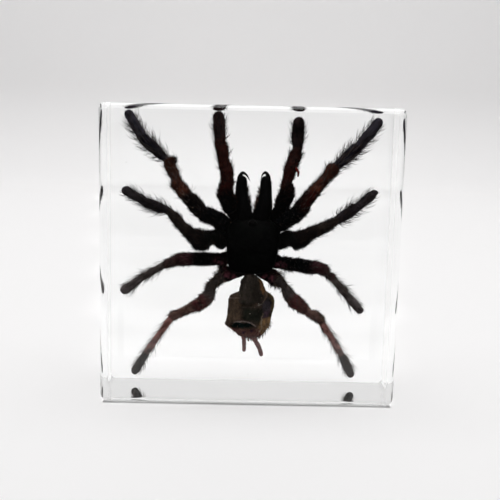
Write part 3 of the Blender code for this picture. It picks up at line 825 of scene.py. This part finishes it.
# (outline, width of its soft edge, raised by, tint)
PATCHES = [
    ([(-5.4, 24.6), (-1.8, 25.0), (-1.4, 19.3), (-4.5, 18.3), (-6.2, 18.0), (-5.8, 20.9)], 1.0, 0.15, "#5a4a3d"),
    ([(3.4, 20.2), (6.4, 20.0), (5.6, 16.8), (3.8, 14.7), (2.2, 16.2), (3.0, 18.8)], 1.1, 0.10, "#8f7050"),
    ([(-4.9, 17.3), (-1.4, 17.1), (2.8, 17.3), (3.8, 14.8), (-3.0, 14.4)], 0.6, 0.20, "#64453f"),
    ([(-1.9, 22.8), (4.2, 22.6), (3.9, 19.9), (2.9, 18.6), (-1.5, 19.3)], 1.8, -0.45, "#2b2b24"),
    ([(-1.6, 24.4), (1.2, 24.6), (0.9, 23.4), (-1.5, 23.4)], 0.9, 0.0, "#241f1a"),
    ([(4.3, 27.0), (5.9, 26.6), (7.2, 24.0), (7.0, 21.3), (5.9, 19.4), (5.8, 22.3), (5.8, 24.0), (5.1, 25.6)],
     0.6, 0.10, "#5a4a2e"),
    ([(3.6, 24.6), (5.4, 25.2), (5.9, 23.1), (5.3, 21.6), (3.9, 21.7), (3.3, 23.4)], 1.2, -0.40, "#403a3e"),
    ([(3.9, 21.7), (5.2, 21.8), (4.9, 20.2), (3.8, 20.2)], 1.0, 0.0, "#54414c"),
    ([(-1.4, 31.8), (1.4, 31.8), (2.8, 29.1), (4.0, 27.1), (3.5, 24.5), (0.7, 23.8), (-2.1, 23.8), (-2.7, 26.7),
      (-2.2, 29.3)], 0.7, 0.70, "#352f2a"),
    ([(0.8, 29.5), (2.4, 28.5), (3.2, 26.0), (3.0, 24.6), (0.9, 24.2)], 1.1, 0.0, "#26211c"),
    ([(2.6, 30.0), (3.4, 29.2), (4.3, 26.9), (3.7, 26.2), (3.0, 27.8)], 0.7, 0.10, "#745437"),
    ([(-4.5, 18.0), (-2.8, 18.7), (0.6, 18.6), (1.3, 17.9), (-1.4, 17.4), (-3.9, 17.5)], 0.4, -0.90, "#1c2a29"),
    ([(-1.5, 16.5), (-0.7, 16.5), (-0.8, 15.7), (-1.4, 15.7)], 0.6, 0.0, "#33202e"),
    ([(0.6, 17.0), (1.3, 17.0), (1.2, 16.2), (0.6, 16.2)], 0.6, 0.0, "#33202e"),
]
# (line, half width, raised by, tint)
RIDGES = [
    ([(-5.0, 24.8), (-3.6, 25.1), (-2.6, 25.2)], 0.13, 0.30, "#7d6c64"),
    ([(-1.6, 22.9), (0.7, 23.0), (2.4, 23.4), (3.2, 23.9)], 0.12, 0.35, "#4f4944"),
    ([(2.4, 23.5), (3.2, 24.0)], 0.16, 0.10, "#91877f"),
    ([(-3.7, 18.8), (-2.6, 19.1), (-1.1, 19.1), (0.8, 18.8), (1.8, 17.9)], 0.14, 0.45, "#a0908c"),
    ([(-3.7, 24.6), (-3.2, 22.4), (-3.5, 19.6)], 0.14, 0.15, "#5f5145"),
    ([(-5.4, 24.4), (-5.5, 22.3), (-5.7, 19.8), (-6.1, 18.1)], 0.16, 0.10, "#a08f80"),
    ([(3.6, 21.2), (3.4, 19.4), (3.5, 17.8), (2.9, 16.4)], 0.14, 0.25, "#a08c7a"),
    ([(4.6, 20.0), (4.6, 18.4), (4.0, 16.6)], 0.14, 0.15, "#5c4c40"),
    ([(-4.4, 17.2), (-3.5, 16.1), (-2.4, 15.1)], 0.16, 0.10, "#a0806e"),
    ([(-2.3, 29.0), (-2.6, 26.9), (-2.3, 25.8)], 0.12, 0.15, "#6a6058"),
    ([(-0.2, 30.8), (-0.9, 28.0), (-1.0, 25.0)], 0.14, 0.10, "#423b35"),
    ([(3.5, 24.2), (4.6, 25.6), (4.4, 26.8)], 0.12, 0.15, "#7a6654"),
]
ABDOMEN_LUMPS = [(-6.0, 17.3, 0.6, 0.40), (6.4, 24.6, 1.2, 0.15), (-3.2, 26.6, 0.8, -0.60), (4.6, 16.6, 0.8, -0.30)]


def distance_to_line(points, line):
    """How far each point is from a line of straight runs, in the plane that the viewer sees."""
    best = np.full(points.shape[:2], 1e9)
    for start, end in zip(line[:-1], line[1:]):
        start, run = np.array(start), np.array(end) - np.array(start)
        share = np.clip(((points - start) @ run) / (run @ run), 0, 1)
        best = np.minimum(best, np.linalg.norm(points - start - share[..., None] * run, axis=2))
    return best


def inside(points, outline, softness):
    """1 within an outline and 0 outside it, with a soft edge between."""
    x, z = points[..., 0], points[..., 1]
    closed = outline + outline[:1]
    within = np.zeros(x.shape, bool)
    for (x0, z0), (x1, z1) in zip(closed[:-1], closed[1:]):
        if z0 != z1:
            within ^= ((z0 > z) != (z1 > z)) & (x < (x1 - x0) * (z - z0) / (z1 - z0) + x0)
    away = distance_to_line(points, closed)
    share = np.clip(0.5 + np.where(within, away, -away) / softness, 0, 1)
    return share * share * (3 - 2 * share)


print(len(PATCHES), "patches and", len(RIDGES), "ridges")

# %% [markdown]
# Noise makes the outlines of patches and ridges wander, because no edge on dried skin is straight,
# and draws the fine streaks that run along the belly.

# %% Make the shrivelled abdomen
STREAK_CONTRAST = 0.45
STREAK_DEPTH = 0.08


def scatter(points, size, seed):
    """A smooth noise, from about -1 to 1, at points in the plane that the viewer sees."""
    values = [noise.noise(Vector((x / size, z / size, seed))) for x, z in points.reshape(-1, 2)]
    return np.array(values).reshape(points.shape[:2])


abdomen_grid = lumped(form_grid(ABDOMEN, (31.6, 14.2), 150, 160, squareness=0.95), ABDOMEN_LUMPS)
flat = abdomen_grid[..., (0, 2)]
# Outlines wander by a coarse and a fine noise, across with seed 1 and in height with seed 2
wandering = np.stack([
    scatter(flat, 0.9, seed) * 0.30 + scatter(flat, 0.35, seed + 9) * 0.14 for seed in (1, 2)], axis=2)
faces_viewer = np.clip((15.4 - abdomen_grid[..., 1]) / 0.8, 0, 1)
lift = np.zeros(flat.shape[:2])
abdomen_tints = np.array(linear("#4a3d34")) * np.ones(abdomen_grid.shape)
for outline, softness, raised, tint in PATCHES:
    share = inside(flat + wandering, outline, softness) * faces_viewer
    lift += raised * share
    abdomen_tints = tinted(abdomen_tints, tint, share)
for line, width, raised, tint in RIDGES:
    share = np.exp(-(distance_to_line(flat + wandering * 0.6, line) / width) ** 2) * faces_viewer
    lift += raised * share
    strength = np.clip(0.75 + scatter(flat, 0.6, 7), 0, 1)
    abdomen_tints = tinted(abdomen_tints, tint, share * strength)
streaks = scatter((flat + wandering) * (1, 0.22), 0.30, 4) + 0.6 * scatter(flat, 0.4, 5)
abdomen_tints *= 1 + STREAK_CONTRAST * streaks[..., None]
abdomen_grid[..., 1] -= lift + STREAK_DEPTH * streaks * faces_viewer
abdomen_grid = roughened(roughened(abdomen_grid, 1.8, 0.30, 30), 0.6, 0.16, 31)
skin("abdomen", abdomen_grid, np.clip(abdomen_tints, 0.001, 1), soft_skin)
print("abdomen", abdomen_grid.shape)

# %% [markdown]
# At its end the abdomen has two long spinnerets of three joints each, which lay the silk, and two
# short ones between them. They are tubes on a path, as the limbs are, with a pinch at each joint.
# The small red hook on the right palp is one more.

# %% The spinnerets and the hook on the right palp
# (path, radius)
SPINNERETS = {
    "left": ([(-1.10, 15.3, 15.2), (-0.97, 15.6, 13.5), (-0.90, 16.1, 12.0), (-0.90, 16.5, 10.4)], 0.62),
    "right": (
        [(1.30, 15.3, 15.3), (1.90, 15.7, 13.6), (2.75, 16.2, 12.1), (3.15, 16.5, 11.1), (3.70, 16.7, 9.2)], 0.72,
    ),
    "inner_left": ([(0.10, 15.8, 14.5), (0.20, 16.1, 13.3)], 0.26),
    "inner_right": ([(0.75, 15.8, 14.6), (0.85, 16.1, 13.5)], 0.24),
}
SPINNERET_JOINTS = 3
SPINNERET_TAPER = 0.26
SPINNERET_PINCH = 0.16
PALP_SPUR = [(10.1, 13.6, 58.2), (10.9, 13.2, 57.9), (11.6, 12.9, 57.1), (11.5, 12.9, 55.9)]
PALP_SPUR_RADIUS = 0.50

spinneret_grids = {}
for side, (points, radius) in SPINNERETS.items():
    path, along, marks = smooth_path(points, 0.1, 0.4)
    share = along / marks[-1]
    from_joint = share * SPINNERET_JOINTS - np.round(share * SPINNERET_JOINTS)
    sizes = radius * (1 - SPINNERET_TAPER * share) * (1 - SPINNERET_PINCH * np.exp(-(from_joint / 0.12) ** 2))
    sizes *= np.sqrt(1 - np.clip((share - 0.9) / 0.1, 0, 0.98) ** 2)
    spinneret_grids[side] = roughened(ring_grid(path, sizes, 16), 0.5, 0.06, 33)
    skin(f"spinneret_{side}", spinneret_grids[side], "#8a5a56", soft_skin)
path, along, marks = smooth_path(PALP_SPUR, 0.08, 0.5)
taper = PALP_SPUR_RADIUS * (1 - 0.6 * along / marks[-1])
skin("palp_spur", ring_grid(path, taper, 14), "#6a2018", leg_cuticle)
print("spinnerets", list(SPINNERETS))

# %% [markdown]
# ## Hair
#
# A tarantula wears two coats: short, dense hair that lies along the limb, and long setae that
# rise from the feet and then bend along them. They show mostly as an outline, but they are what
# makes it look like a spider and not a crab. Hair curves would be quicker to make, but the exported
# model drops them, so each hair is a thin three-sided spike of mesh, rooted in a cell of a grid. Real
# setae are a few hundredths of a millimetre thick. These are drawn about four times as thick, because
# at this size a pixel is a quarter of a millimetre wide. The resin also stuck much of the short coat
# together into points, so a few thick spikes stand among the fine ones.

# %% Grow hairs on a grid
CLUMP_SIZE = 0.5
CLUMP_SEED = 1
# Without a seed, noise vectors start from the clock and each run would comb the hair another way
noise.seed_set(CLUMP_SEED)
HAIR_TO_FACE = 0.4
HAIR_STAYS_IN = (
    np.array((-BLOCK_WIDTH / 2, 0, 0)) + HAIR_TO_FACE,
    np.array((BLOCK_WIDTH / 2, BLOCK_DEPTH, BLOCK_HEIGHT)) - HAIR_TO_FACE,
)


def grow(name, grid, count, length, thickness, angles, tones, seed, keep=None, joints=1, untidy=18, clumps=0):
    """
    Roots hairs in random cells of a grid. The two angles, in degrees, are how far a hair stands off
    the skin at its root and at its tip. Length is one number, or one for each ring. Hairs that stand
    near each other share a swing and a lean of up to the angle given for clumps.
    """
    random = np.random.default_rng(seed)
    edge_along = grid[1:] - grid[:-1]
    edge_round = (np.roll(grid, -1, axis=1) - grid)[:-1]
    normals = np.cross(edge_along, edge_round)
    areas = np.linalg.norm(normals, axis=2)
    from_middle = grid[:-1] - grid[:-1].mean(axis=1, keepdims=True)
    normals = unit(normals) * np.sign((normals * from_middle).sum(2, keepdims=True))
    chance = areas * (1 if keep is None else np.broadcast_to(keep, grid.shape[:2])[:-1])
    cells = random.choice(areas.size, count, p=(chance / chance.sum()).ravel())
    i, j = np.unravel_index(cells, areas.shape)
    u, v = random.random((2, count, 1))
    normal, forward = normals[i, j], unit(edge_along[i, j])
    points = grid[i, j] + edge_along[i, j] * u + edge_round[i, j] * v - normal * thickness
    shared = np.zeros((count, 2))
    if clumps:
        shared = clumps * np.array([noise.noise_vector(Vector(point) / CLUMP_SIZE)[:2] for point in points])
    swing = np.radians(shared[:, :1] + random.normal(0, untidy, (count, 1)))
    forward = forward * np.cos(swing) + np.cross(normal, forward) * np.sin(swing)
    lengths = np.broadcast_to(length, len(grid))[i][:, None] * random.uniform(0.5, 1.15, (count, 1))
    lean = shared[:, 1:] + random.normal(0, untidy / 2, (count, 1))
    side = unit(np.cross(normal, forward) + random.normal(0, 0.2, (count, 3)))
    radius = thickness / 2 * random.uniform(0.7, 1.15, (count, 1))
    rings = []
    for joint in range(joints + 1):
        angle = np.radians(lean + angles[0] + (angles[1] - angles[0]) * joint / max(joints, 1))
        heading = normal * np.sin(angle) + forward * np.cos(angle)
        if joint < joints:
            other = np.cross(heading, side)
            girth = radius * (1 - joint / joints) ** 0.6
            rings += [points + (side * math.cos(turn) + other * math.sin(turn)) * girth for turn in (0, 2.09, 4.19)]
            points = points + heading * lengths / joints
    rings.append(points)
    pattern = [(3 * k + a, 3 * k + b, 3 * k + 3 + b, 3 * k + 3 + a)
               for k in range(joints - 1) for a, b in ((0, 1), (1, 2), (2, 0))]
    pattern += [(3 * joints - 3 + a, 3 * joints - 3 + b, 3 * joints) for a, b in ((0, 1), (1, 2), (2, 0))]
    verts = np.clip(np.stack(rings, axis=1).reshape(-1, 3), *HAIR_STAYS_IN)
    faces = [tuple(n * len(rings) + corner for corner in face) for n in range(count) for face in pattern]
    mesh = mesh_of_points(name, verts, faces)
    new_piece(name, mesh, [setae[tone] for tone in tones])
    tone_of_hair = random.integers(0, len(tones), count)
    mesh.polygons.foreach_set("material_index", np.repeat(tone_of_hair, len(pattern)).astype(np.int32))
    return count * (6 * joints - 3)


def surface_area(grid):
    return np.linalg.norm(np.cross(grid[1:] - grid[:-1], (np.roll(grid, -1, 1) - grid)[:-1]), axis=2).sum()


print("hairs stay", HAIR_TO_FACE, "mm inside the block's faces")

# %% [markdown]
# Each limb wears three coats: a fuzz that lies close, the points that resin has stuck together, and
# long setae that stand off and bend back along the limb. How much of each grows on a segment, and
# how long, is a share and a length for coxa, femur and so on. Hair starts a little over halfway
# along the coxa, where it leaves the body, and gets short at the tip.

# %% Hair on legs and palps
FUZZ_PER_MM2 = 12
FUZZ_THICKNESS = 0.09
POINTS_PER_MM2 = 2.6
POINT_THICKNESS = 0.22
SETAE_PER_MM = {1: 18, 2: 16, 3: 15, 4: 15, "palp": 15}
SETA_THICKNESS = {1: 0.115, 2: 0.105, 3: 0.09, 4: 0.08, "palp": 0.10}
SETA_LEAN = {1: 40, 2: 36, 3: 29, 4: 25, "palp": 36}
SETA_TIP_LEAN = -14
BARE_TIP = 1.2
HAIR_STARTS_AT = 0.6
FUZZ_TONES = {
    1: ("black", "black", "brown"), 2: ("black", "brown", "black"), 3: ("black", "brown", "brown"),
    4: ("brown", "tawny", "grey"), "palp": ("black", "black", "russet"),
}
SETA_TONES = {
    1: ("black", "brown", "grey"), 2: ("black", "black", "brown"), 3: ("black", "brown", "grey"),
    4: ("brown", "russet", "grey"), "palp": ("black", "black", "brown"), "palp_left": ("black", "russet", "brown"),
}
LEG_FUZZ = {"share": (0.4, 1.0, 1.0, 0.9, 0.30, 0.22), "length": (0.6, 0.70, 0.70, 0.60, 0.36, 0.30)}
PALP_FUZZ = {"share": (0.4, 1.0, 1.0, 0.8, 0.8), "length": (0.6, 0.70, 0.70, 0.50, 0.45)}
LEG_POINTS = {"share": (0.5, 1.0, 1.0, 0.8, 0.10, 0.04), "length": (0.7, 1.15, 1.10, 1.05, 0.80, 0.50)}
PALP_POINTS = {"share": (0.5, 1.0, 1.0, 0.9, 0.7), "length": (0.7, 1.05, 1.00, 0.95, 0.85)}
LEG_SETAE = {"share": (0.0, 0.15, 0.3, 0.6, 1.0, 0.9), "length": (1.0, 1.5, 1.8, 2.2, 3.7, 3.4)}
PALP_SETAE = {"share": (0.0, 0.2, 0.3, 0.9, 1.0), "length": (1.0, 1.4, 1.7, 2.3, 2.6)}

triangles = 0
for number, (name, grid) in enumerate(limb_grids.items()):
    kind = limb_kind(name)
    along, marks, segment = limb_facts[name]
    palp = kind == "palp"
    tones = SETA_TONES.get(name, SETA_TONES[kind])
    fuzz, points, long_hair = (PALP_FUZZ, PALP_POINTS, PALP_SETAE) if palp else (LEG_FUZZ, LEG_POINTS, LEG_SETAE)
    outside = np.clip(along - marks[1] * HAIR_STARTS_AT, 0.05, 1)
    area = surface_area(grid) / outside.mean()
    share = (np.array(fuzz["share"])[segment] * outside)[:, None]
    triangles += grow(f"{name}_fuzz", grid, round(area * FUZZ_PER_MM2 * share.mean()),
                      np.array(fuzz["length"])[segment], FUZZ_THICKNESS, (42, 20), FUZZ_TONES[kind], 100 + number,
                      keep=share, clumps=28)
    share = (np.array(points["share"])[segment] * outside)[:, None]
    triangles += grow(f"{name}_points", grid, round(area * POINTS_PER_MM2 * share.mean()),
                      np.array(points["length"])[segment], POINT_THICKNESS, (55, 15), tones, 150 + number,
                      keep=share, joints=2, clumps=25)
    before_tip = marks[-1] - along
    share = (np.array(long_hair["share"])[segment] * np.clip((before_tip - BARE_TIP) / 1.4, 0.01, 1))[:, None]
    shorter_at_tip = np.clip(before_tip / 3.5 + 0.25, 0.25, 1)
    length = np.minimum(np.array(long_hair["length"])[segment] * shorter_at_tip, before_tip * 0.8 + 0.3)
    triangles += grow(f"{name}_setae", grid, round(marks[-1] * SETAE_PER_MM[kind]), length,
                      SETA_THICKNESS[kind], (SETA_LEAN[kind], SETA_TIP_LEAN), tones, 200 + number, keep=share,
                      joints=3, clumps=12, untidy=14)
print("hair triangles on limbs", triangles)

# %% [markdown]
# At the knees and next to the body the hair is rubbed up into stiff tufts, which break the outline.
# They are the same hairs, rooted only near a spot and standing steeply.

# %% Tufts: clumps of stiff hair at a few joints
TUFT_THICKNESS = 0.14
# (limb, across, height, reach, count, length)
TUFTS = [
    ("leg_1_left", -19.2, 59.4, 0.9, 90, 1.1), ("palp_left", -8.7, 53.2, 1.3, 130, 1.1),
    ("leg_2_left", -12.4, 38.0, 1.6, 120, 0.9), ("palp_right", 10.2, 60.2, 1.6, 60, 0.9),
    ("leg_1_right", 12.5, 57.0, 1.2, 60, 1.1), ("palp_right", 7.4, 51.5, 1.6, 130, 1.1),
    ("leg_4_right", 19.6, 20.2, 1.3, 130, 1.1), ("leg_4_left", -19.6, 20.6, 1.2, 60, 0.9),
    ("leg_3_right", 20.6, 31.8, 1.3, 70, 1.0), ("leg_3_left", -18.6, 36.0, 1.3, 70, 0.8),
    ("leg_4_left", -7.6, 31.4, 1.5, 90, 1.8), ("leg_4_right", 7.8, 31.0, 1.5, 90, 1.8),
    ("leg_4_left", -7.0, 27.8, 1.2, 60, 1.2), ("leg_4_right", 6.4, 27.6, 1.2, 90, 1.7),
    ("leg_3_left", -6.8, 32.9, 1.2, 80, 1.6), ("leg_3_right", 8.6, 32.2, 1.4, 80, 1.4),
    ("leg_2_left", -10.6, 43.0, 1.8, 150, 1.2), ("leg_2_right", 9.2, 42.8, 1.6, 130, 1.1),
    ("leg_1_left", -9.6, 46.6, 1.6, 130, 1.1), ("leg_1_right", 10.1, 48.3, 1.4, 90, 1.0),
    ("leg_1_right", 18.4, 55.3, 1.5, 90, 1.0), ("leg_4_left", -9.6, 28.9, 1.4, 90, 1.4),
]

for number, (name, across, height, reach, count, length) in enumerate(TUFTS):
    grid = limb_grids[name]
    triangles += grow(f"{name}_tuft_{number}", grid, count, length, TUFT_THICKNESS, (65, 45),
                      FUZZ_TONES[limb_kind(name)], 400 + number, keep=nearness(grid, across, height, reach),
                      joints=2, clumps=20)
print(len(TUFTS), "tufts")

# %% [markdown]
# The body's coats are thinner. The carapace has a nap like velvet and a fringe round its edge, the
# jaws have a row of stiff hairs on their inner sides, and the abdomen keeps long russet hairs only
# at its rear, where the rest has rubbed off.

# %% Hair on the carapace, jaws, abdomen and spinnerets
triangles += grow("carapace_undercoat", carapace_grid, 3600, 0.5, 0.08, (25, 5), ("black",), 300)
edge_of_shell = np.clip(np.abs(carapace_grid[..., 0] - 0.6) / 6 - 0.6, 0.01, 1)
triangles += grow("carapace_fringe", carapace_grid, 420, 1.0, 0.12, (60, 40), ("black",), 301,
                  keep=edge_of_shell, joints=2)
for side, grid in chelicera_grids.items():
    upwards = grid[::-1]
    towards_middle = 1 if side == "left" else -1
    inner = (upwards[..., 0] - upwards[..., 0].mean(1, keepdims=True)) * towards_middle
    inner = inner / inner.max(1, keepdims=True) > 0.90
    inner = inner * np.clip((54.0 - upwards[..., 2]) / 2, 0, 1) * np.clip((upwards[..., 2] - 46.5) / 2, 0, 1)
    triangles += grow(f"chelicera_{side}_undercoat", upwards, 1500, 0.45, 0.08, (40, 20), ("black",), 302)
    tones = ("brown", "grey", "black") if side == "left" else ("russet", "tawny", "brown")
    triangles += grow(f"chelicera_{side}_fringe", upwards, 150, 1.25, 0.15, (60, 45), tones, 303,
                      keep=inner + 0.0002, joints=2, clumps=20)
    triangles += grow(f"chelicera_{side}_points", upwards, 170, 0.7, 0.18, (50, 20), ("black",), 308,
                      joints=2, clumps=20)
triangles += grow("sternum_undercoat", sternum_grid, 2400, 0.5, 0.07, (45, 20), ("black", "brown"), 304)
rear = np.clip((20.0 - abdomen_grid[..., 2]) / 4, 0.02, 1)
right_side = np.clip((abdomen_grid[..., 0] - 1.0) / 3, 0.07, 1)
back_side = np.clip((abdomen_grid[..., 1] - 13.0) / 3, 0.08, 1)
triangles += grow("abdomen_undercoat", abdomen_grid, 2200, 0.5, 0.05, (35, 15), ("brown", "tawny"), 305,
                  keep=back_side)
triangles += grow("abdomen_setae", abdomen_grid, 320, 1.5, 0.12, (50, 15), ("russet", "tawny"), 306,
                  keep=rear * right_side * (back_side + 0.1), joints=3)
for side, grid in spinneret_grids.items():
    triangles += grow(f"spinneret_{side}_setae", grid, 70, 0.45, 0.05, (50, 20), ("tawny", "brown"), 307)
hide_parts("tarantula")
print("hair triangles in all", triangles)

# %% [markdown]
# A real casting is never quite clean. Specks of dust and skin sat on the spider when the resin was poured, and they
# show as pale or dark dots. Four of them, on the abdomen, are painted highlights: pale and tawny flakes that stand
# for small glints on its skin. Each is a small, uneven flake of mesh.

# %% Specks of dust in the resin, and painted highlights on the abdomen
# The four on the abdomen, 21 to 26 mm up, are painted highlights and not dust.
# (across, depth, height, tone)
SPECKS_AND_PAINTED_GLINTS = [
    (-18.2, 9.4, 52.6, "tawny"), (-16.6, 8.4, 51.3, "tawny"), (-14.2, 7.4, 48.1, "tawny"),
    (-4.9, 11.4, 44.4, "tawny"), (3.2, 10.6, 25.5, "tawny"), (1.5, 10.4, 23.1, "tawny"),
    (0.4, 10.4, 21.4, "pale"), (2.5, 10.4, 24.0, "pale"), (17.9, 12.6, 55.8, "pale"), (-22.0, 9.0, 46.6, "tawny"),
    (-30.5, 9.0, 58.7, "brown"), (0.2, 10.0, 5.7, "brown"),
]
SPECK_RADIUS = 0.13
SPECK_TONES = ("tawny", "brown", "pale")

setae["pale"] = plain("pale_flake_and_painted_glint", "#b5aca4", 0.7, WETTED_IOR)
random = np.random.default_rng(9)
bm = bmesh.new()
for across, depth, height, tone in SPECKS_AND_PAINTED_GLINTS:
    made = bmesh.ops.create_icosphere(bm, subdivisions=1, radius=SPECK_RADIUS)["verts"]
    for vert in made:
        stretched = np.array(vert.co) * (1.0, 0.5, 0.8) * random.uniform(0.7, 1.3)
        vert.co = metres(stretched + (across, depth, height))
    for face in {face for vert in made for face in vert.link_faces}:
        face.material_index = SPECK_TONES.index(tone)
new_piece("specks_and_painted_glints", mesh_of_bmesh("specks_and_painted_glints", bm), [setae[tone] for tone in SPECK_TONES])
print(len(SPECKS_AND_PAINTED_GLINTS), "specks_and_painted_glints")

# %% [markdown]
# ## The studio
#
# The block stands on a white sweep: a sheet of matt card that lies flat and curves up into a backdrop far behind, so
# that no line shows where the floor ends. In front of the block the card's colour shades off to black, which is
# painted shade standing for an unlit floor there, and the room beyond is dark. A polished face mirrors four
# hundredths of what lies in front of it, and over a black spider even that would show as a grey veil.

# %% Card sweep, white with painted shade in front of the block
CARD_FRONT, CARD_BACK, CARD_HALF_WIDTH, CARD_TOP = -260.0, 700.0, 600.0, 700.0
SWEEP_RADIUS = 100.0
SWEEP_STEPS = 24
AIR_GAP = 0.02
WHITE_FROM, BLACK_FROM = -68.0, -86.0

card, shader = new_material("paper_card_matt_painted_shade")
shader.inputs["Roughness"].default_value = 0.9
shader.inputs["Specular IOR Level"].default_value = 0.1
# The card's colour runs from white at WHITE_FROM to black at BLACK_FROM: painted shade on the floor in front of the
# block.
spot = add_node(card, "ShaderNodeTexCoord").outputs["Object"]
towards_back = add_node(card, "ShaderNodeSeparateXYZ", Vector=spot).outputs["Y"]
white_share = add_node(card, "ShaderNodeMapRange", {
    "interpolation_type": "SMOOTHSTEP", "From Min": BLACK_FROM * MM, "From Max": WHITE_FROM * MM},
    Value=towards_back)
paper = add_node(card, "ShaderNodeMix", {"data_type": "RGBA"}, Factor=white_share.outputs["Result"])
paper.inputs["A"].default_value = (*linear("#0a0a0a"), 1)
paper.inputs["B"].default_value = (*linear("#f1f0f0"), 1)
card.node_tree.links.new(paper.outputs["Result"], shader.inputs["Base Color"])
profile = [(CARD_FRONT, 0.0), (CARD_BACK - SWEEP_RADIUS, 0.0)]
for step in range(1, SWEEP_STEPS + 1):
    angle = step / SWEEP_STEPS * math.pi / 2
    profile.append((CARD_BACK - SWEEP_RADIUS + SWEEP_RADIUS * math.sin(angle), SWEEP_RADIUS * (1 - math.cos(angle))))
profile.append((CARD_BACK, CARD_TOP))
bm = bmesh.new()
left = [bm.verts.new(Vector((-CARD_HALF_WIDTH, y, z - AIR_GAP)) * MM) for y, z in profile]
right = [bm.verts.new(Vector((CARD_HALF_WIDTH, y, z - AIR_GAP)) * MM) for y, z in profile]
for a, b, c, d in zip(left, right, right[1:], left[1:]):
    bm.faces.new((a, b, c, d))
sweep_mesh = mesh_of_bmesh("card_sweep", bm)
sweep_mesh.shade_smooth()
sweep_mesh.materials.append(card)
sweep = place("card_sweep", sweep_mesh)
print("card sweep", len(profile), "points in profile")

# %% [markdown]
# A clear block turns only a little of the light aside, and its shadow is faint. A path tracer finds
# light that is bent through glass only by luck, so it would draw the block's shadow nearly black and
# leave the spider unlit. So the block casts no shadow here. A veil inside it, which only shadow
# rays see, takes away the right small share, and its dark foot makes the line of contact.

# %% The faint shadow of a clear block
VEIL_INSET = 0.9
VEIL_PASSES = 0.90
FOOT_OVERHANG = 0.5
FOOT_HEIGHT = 0.06
FOOT_THICKNESS = 0.02

# The veil is a grey film that only shadow rays see, put in the block to cast its faint shadow.
veil_glass = bpy.data.materials.new("shadow_veil_film")
veil_glass.use_nodes = True
veil_glass.node_tree.nodes.remove(veil_glass.node_tree.nodes["Principled BSDF"])
film = add_node(veil_glass, "ShaderNodeBsdfTransparent", {"Color": (VEIL_PASSES, VEIL_PASSES, VEIL_PASSES, 1)})
film_output = veil_glass.node_tree.nodes["Material Output"]
veil_glass.node_tree.links.new(film.outputs["BSDF"], film_output.inputs["Surface"])
# The foot is a black plate that only shadow rays see, put under the block to cast the dark line of contact.
veil_foot, shader = new_material("contact_shadow_plate_black")
shader.inputs["Base Color"].default_value = (*linear("#0a0a0a"), 1)
boxes = [
    ((BLOCK_WIDTH - 2 * VEIL_INSET, BLOCK_DEPTH - 2 * VEIL_INSET, BLOCK_HEIGHT - 2 * VEIL_INSET),
     (0, 0, BLOCK_HEIGHT / 2)),
    ((BLOCK_WIDTH - 2 * VEIL_INSET, BLOCK_DEPTH, FOOT_THICKNESS), (0, -FOOT_OVERHANG, FOOT_HEIGHT)),
]
bm = bmesh.new()
for number, (size, middle) in enumerate(boxes):
    made = bmesh.ops.create_cube(bm, size=1.0)["verts"]
    for vert in made:
        vert.co = (Vector(c * s for c, s in zip(vert.co, size)) + Vector(middle)) * MM
    for face in {face for vert in made for face in vert.link_faces}:
        face.material_index = number
veil_mesh = mesh_of_bmesh("shadow_veil", bm)
for material in (veil_glass, veil_foot):
    veil_mesh.materials.append(material)
veil = place("shadow_veil", veil_mesh)
for kind in ("camera", "diffuse", "glossy", "transmission", "volume_scatter"):
    setattr(veil, f"visible_{kind}", False)
block.visible_shadow = False
print("veil lets", round(VEIL_PASSES ** 2, 2), "of the light through")

# %% [markdown]
# One large softbox hangs overhead, so the card is bright, the block's edges catch light lines, and
# the spider is lit mostly from above and behind. A second one lifts the backdrop. In the photograph
# the card looks brighter through the resin than beside it. A studio can do that with grid lights,
# lamps behind a honeycomb that keeps their light narrow: here nine of them light a path on the card
# behind the block and the backdrop at its end. A brighter card material would do it too, but a lamp
# is a thing that could stand there, and it gives soft edges.

# %% Soft lights
def softbox(name, centre, aim, width, height, watts, spread=180):
    light = bpy.data.lights.new(name, "AREA")
    light.shape = "RECTANGLE"
    light.size, light.size_y = width * MM, height * MM
    light.energy = watts
    light.spread = math.radians(spread)
    lamp = place(name, light)
    lamp.location = Vector(centre) * MM
    lamp.rotation_euler = (Vector(aim) * MM - lamp.location).to_track_quat("-Z", "Y").to_euler()


# (from, to, watts) along the card, and the height of the lamp over it
CARD_PATH = [
    (15, 75, 0.0023, 330), (75, 145, 0.0057, 330), (145, 235, 0.0056, 330),
    (235, 345, 0.0076, 400), (345, 465, 0.0095, 400), (465, 590, 0.0150, 400),
]
PATH_TO_BLOCK_WIDTH = 1.03
PATH_MIDDLE = 0.5
GRID_SPREAD = 4
ROOM_LIGHT = 0.02

softbox("overhead_softbox", (0, 60, 900), (0, 60, 0), 1600, 1000, 12.95)
softbox("backdrop_softbox", (0, 350, 500), (0, 700, 100), 1400, 120, 0.130, spread=100)
for number, (near, far, watts, height) in enumerate(CARD_PATH):
    middle = (near + far) / 2
    width = PATH_TO_BLOCK_WIDTH * BLOCK_WIDTH * (CAMERA_DISTANCE + middle) / (CAMERA_DISTANCE + BLOCK_DEPTH / 2)
    softbox(f"grid_light_{number}", (PATH_MIDDLE, middle, height), (PATH_MIDDLE, middle, 0), width, far - near,
            watts, spread=GRID_SPREAD)
softbox("grid_light_curve", (3, 614, 95), (3, 650, 5), 297, 60, 0.0101, spread=12)
softbox("grid_light_backdrop", (2, 636, 123), (2, 692, 43), 300, 50, 0.0088, spread=11)
softbox("grid_light_high", (-3, 480, 420), (-3, 700, 229), 330, 26, 0.0030, spread=GRID_SPREAD)
world = bpy.data.worlds.new("studio_room")
world.use_nodes = True
scene.world = world
room = world.node_tree.nodes["Background"]
room.inputs["Color"].default_value = (*linear("#ffffff"), 1)
room.inputs["Strength"].default_value = ROOM_LIGHT
scene.view_settings.view_transform = "Standard"
print(len(bpy.data.lights), "lights")
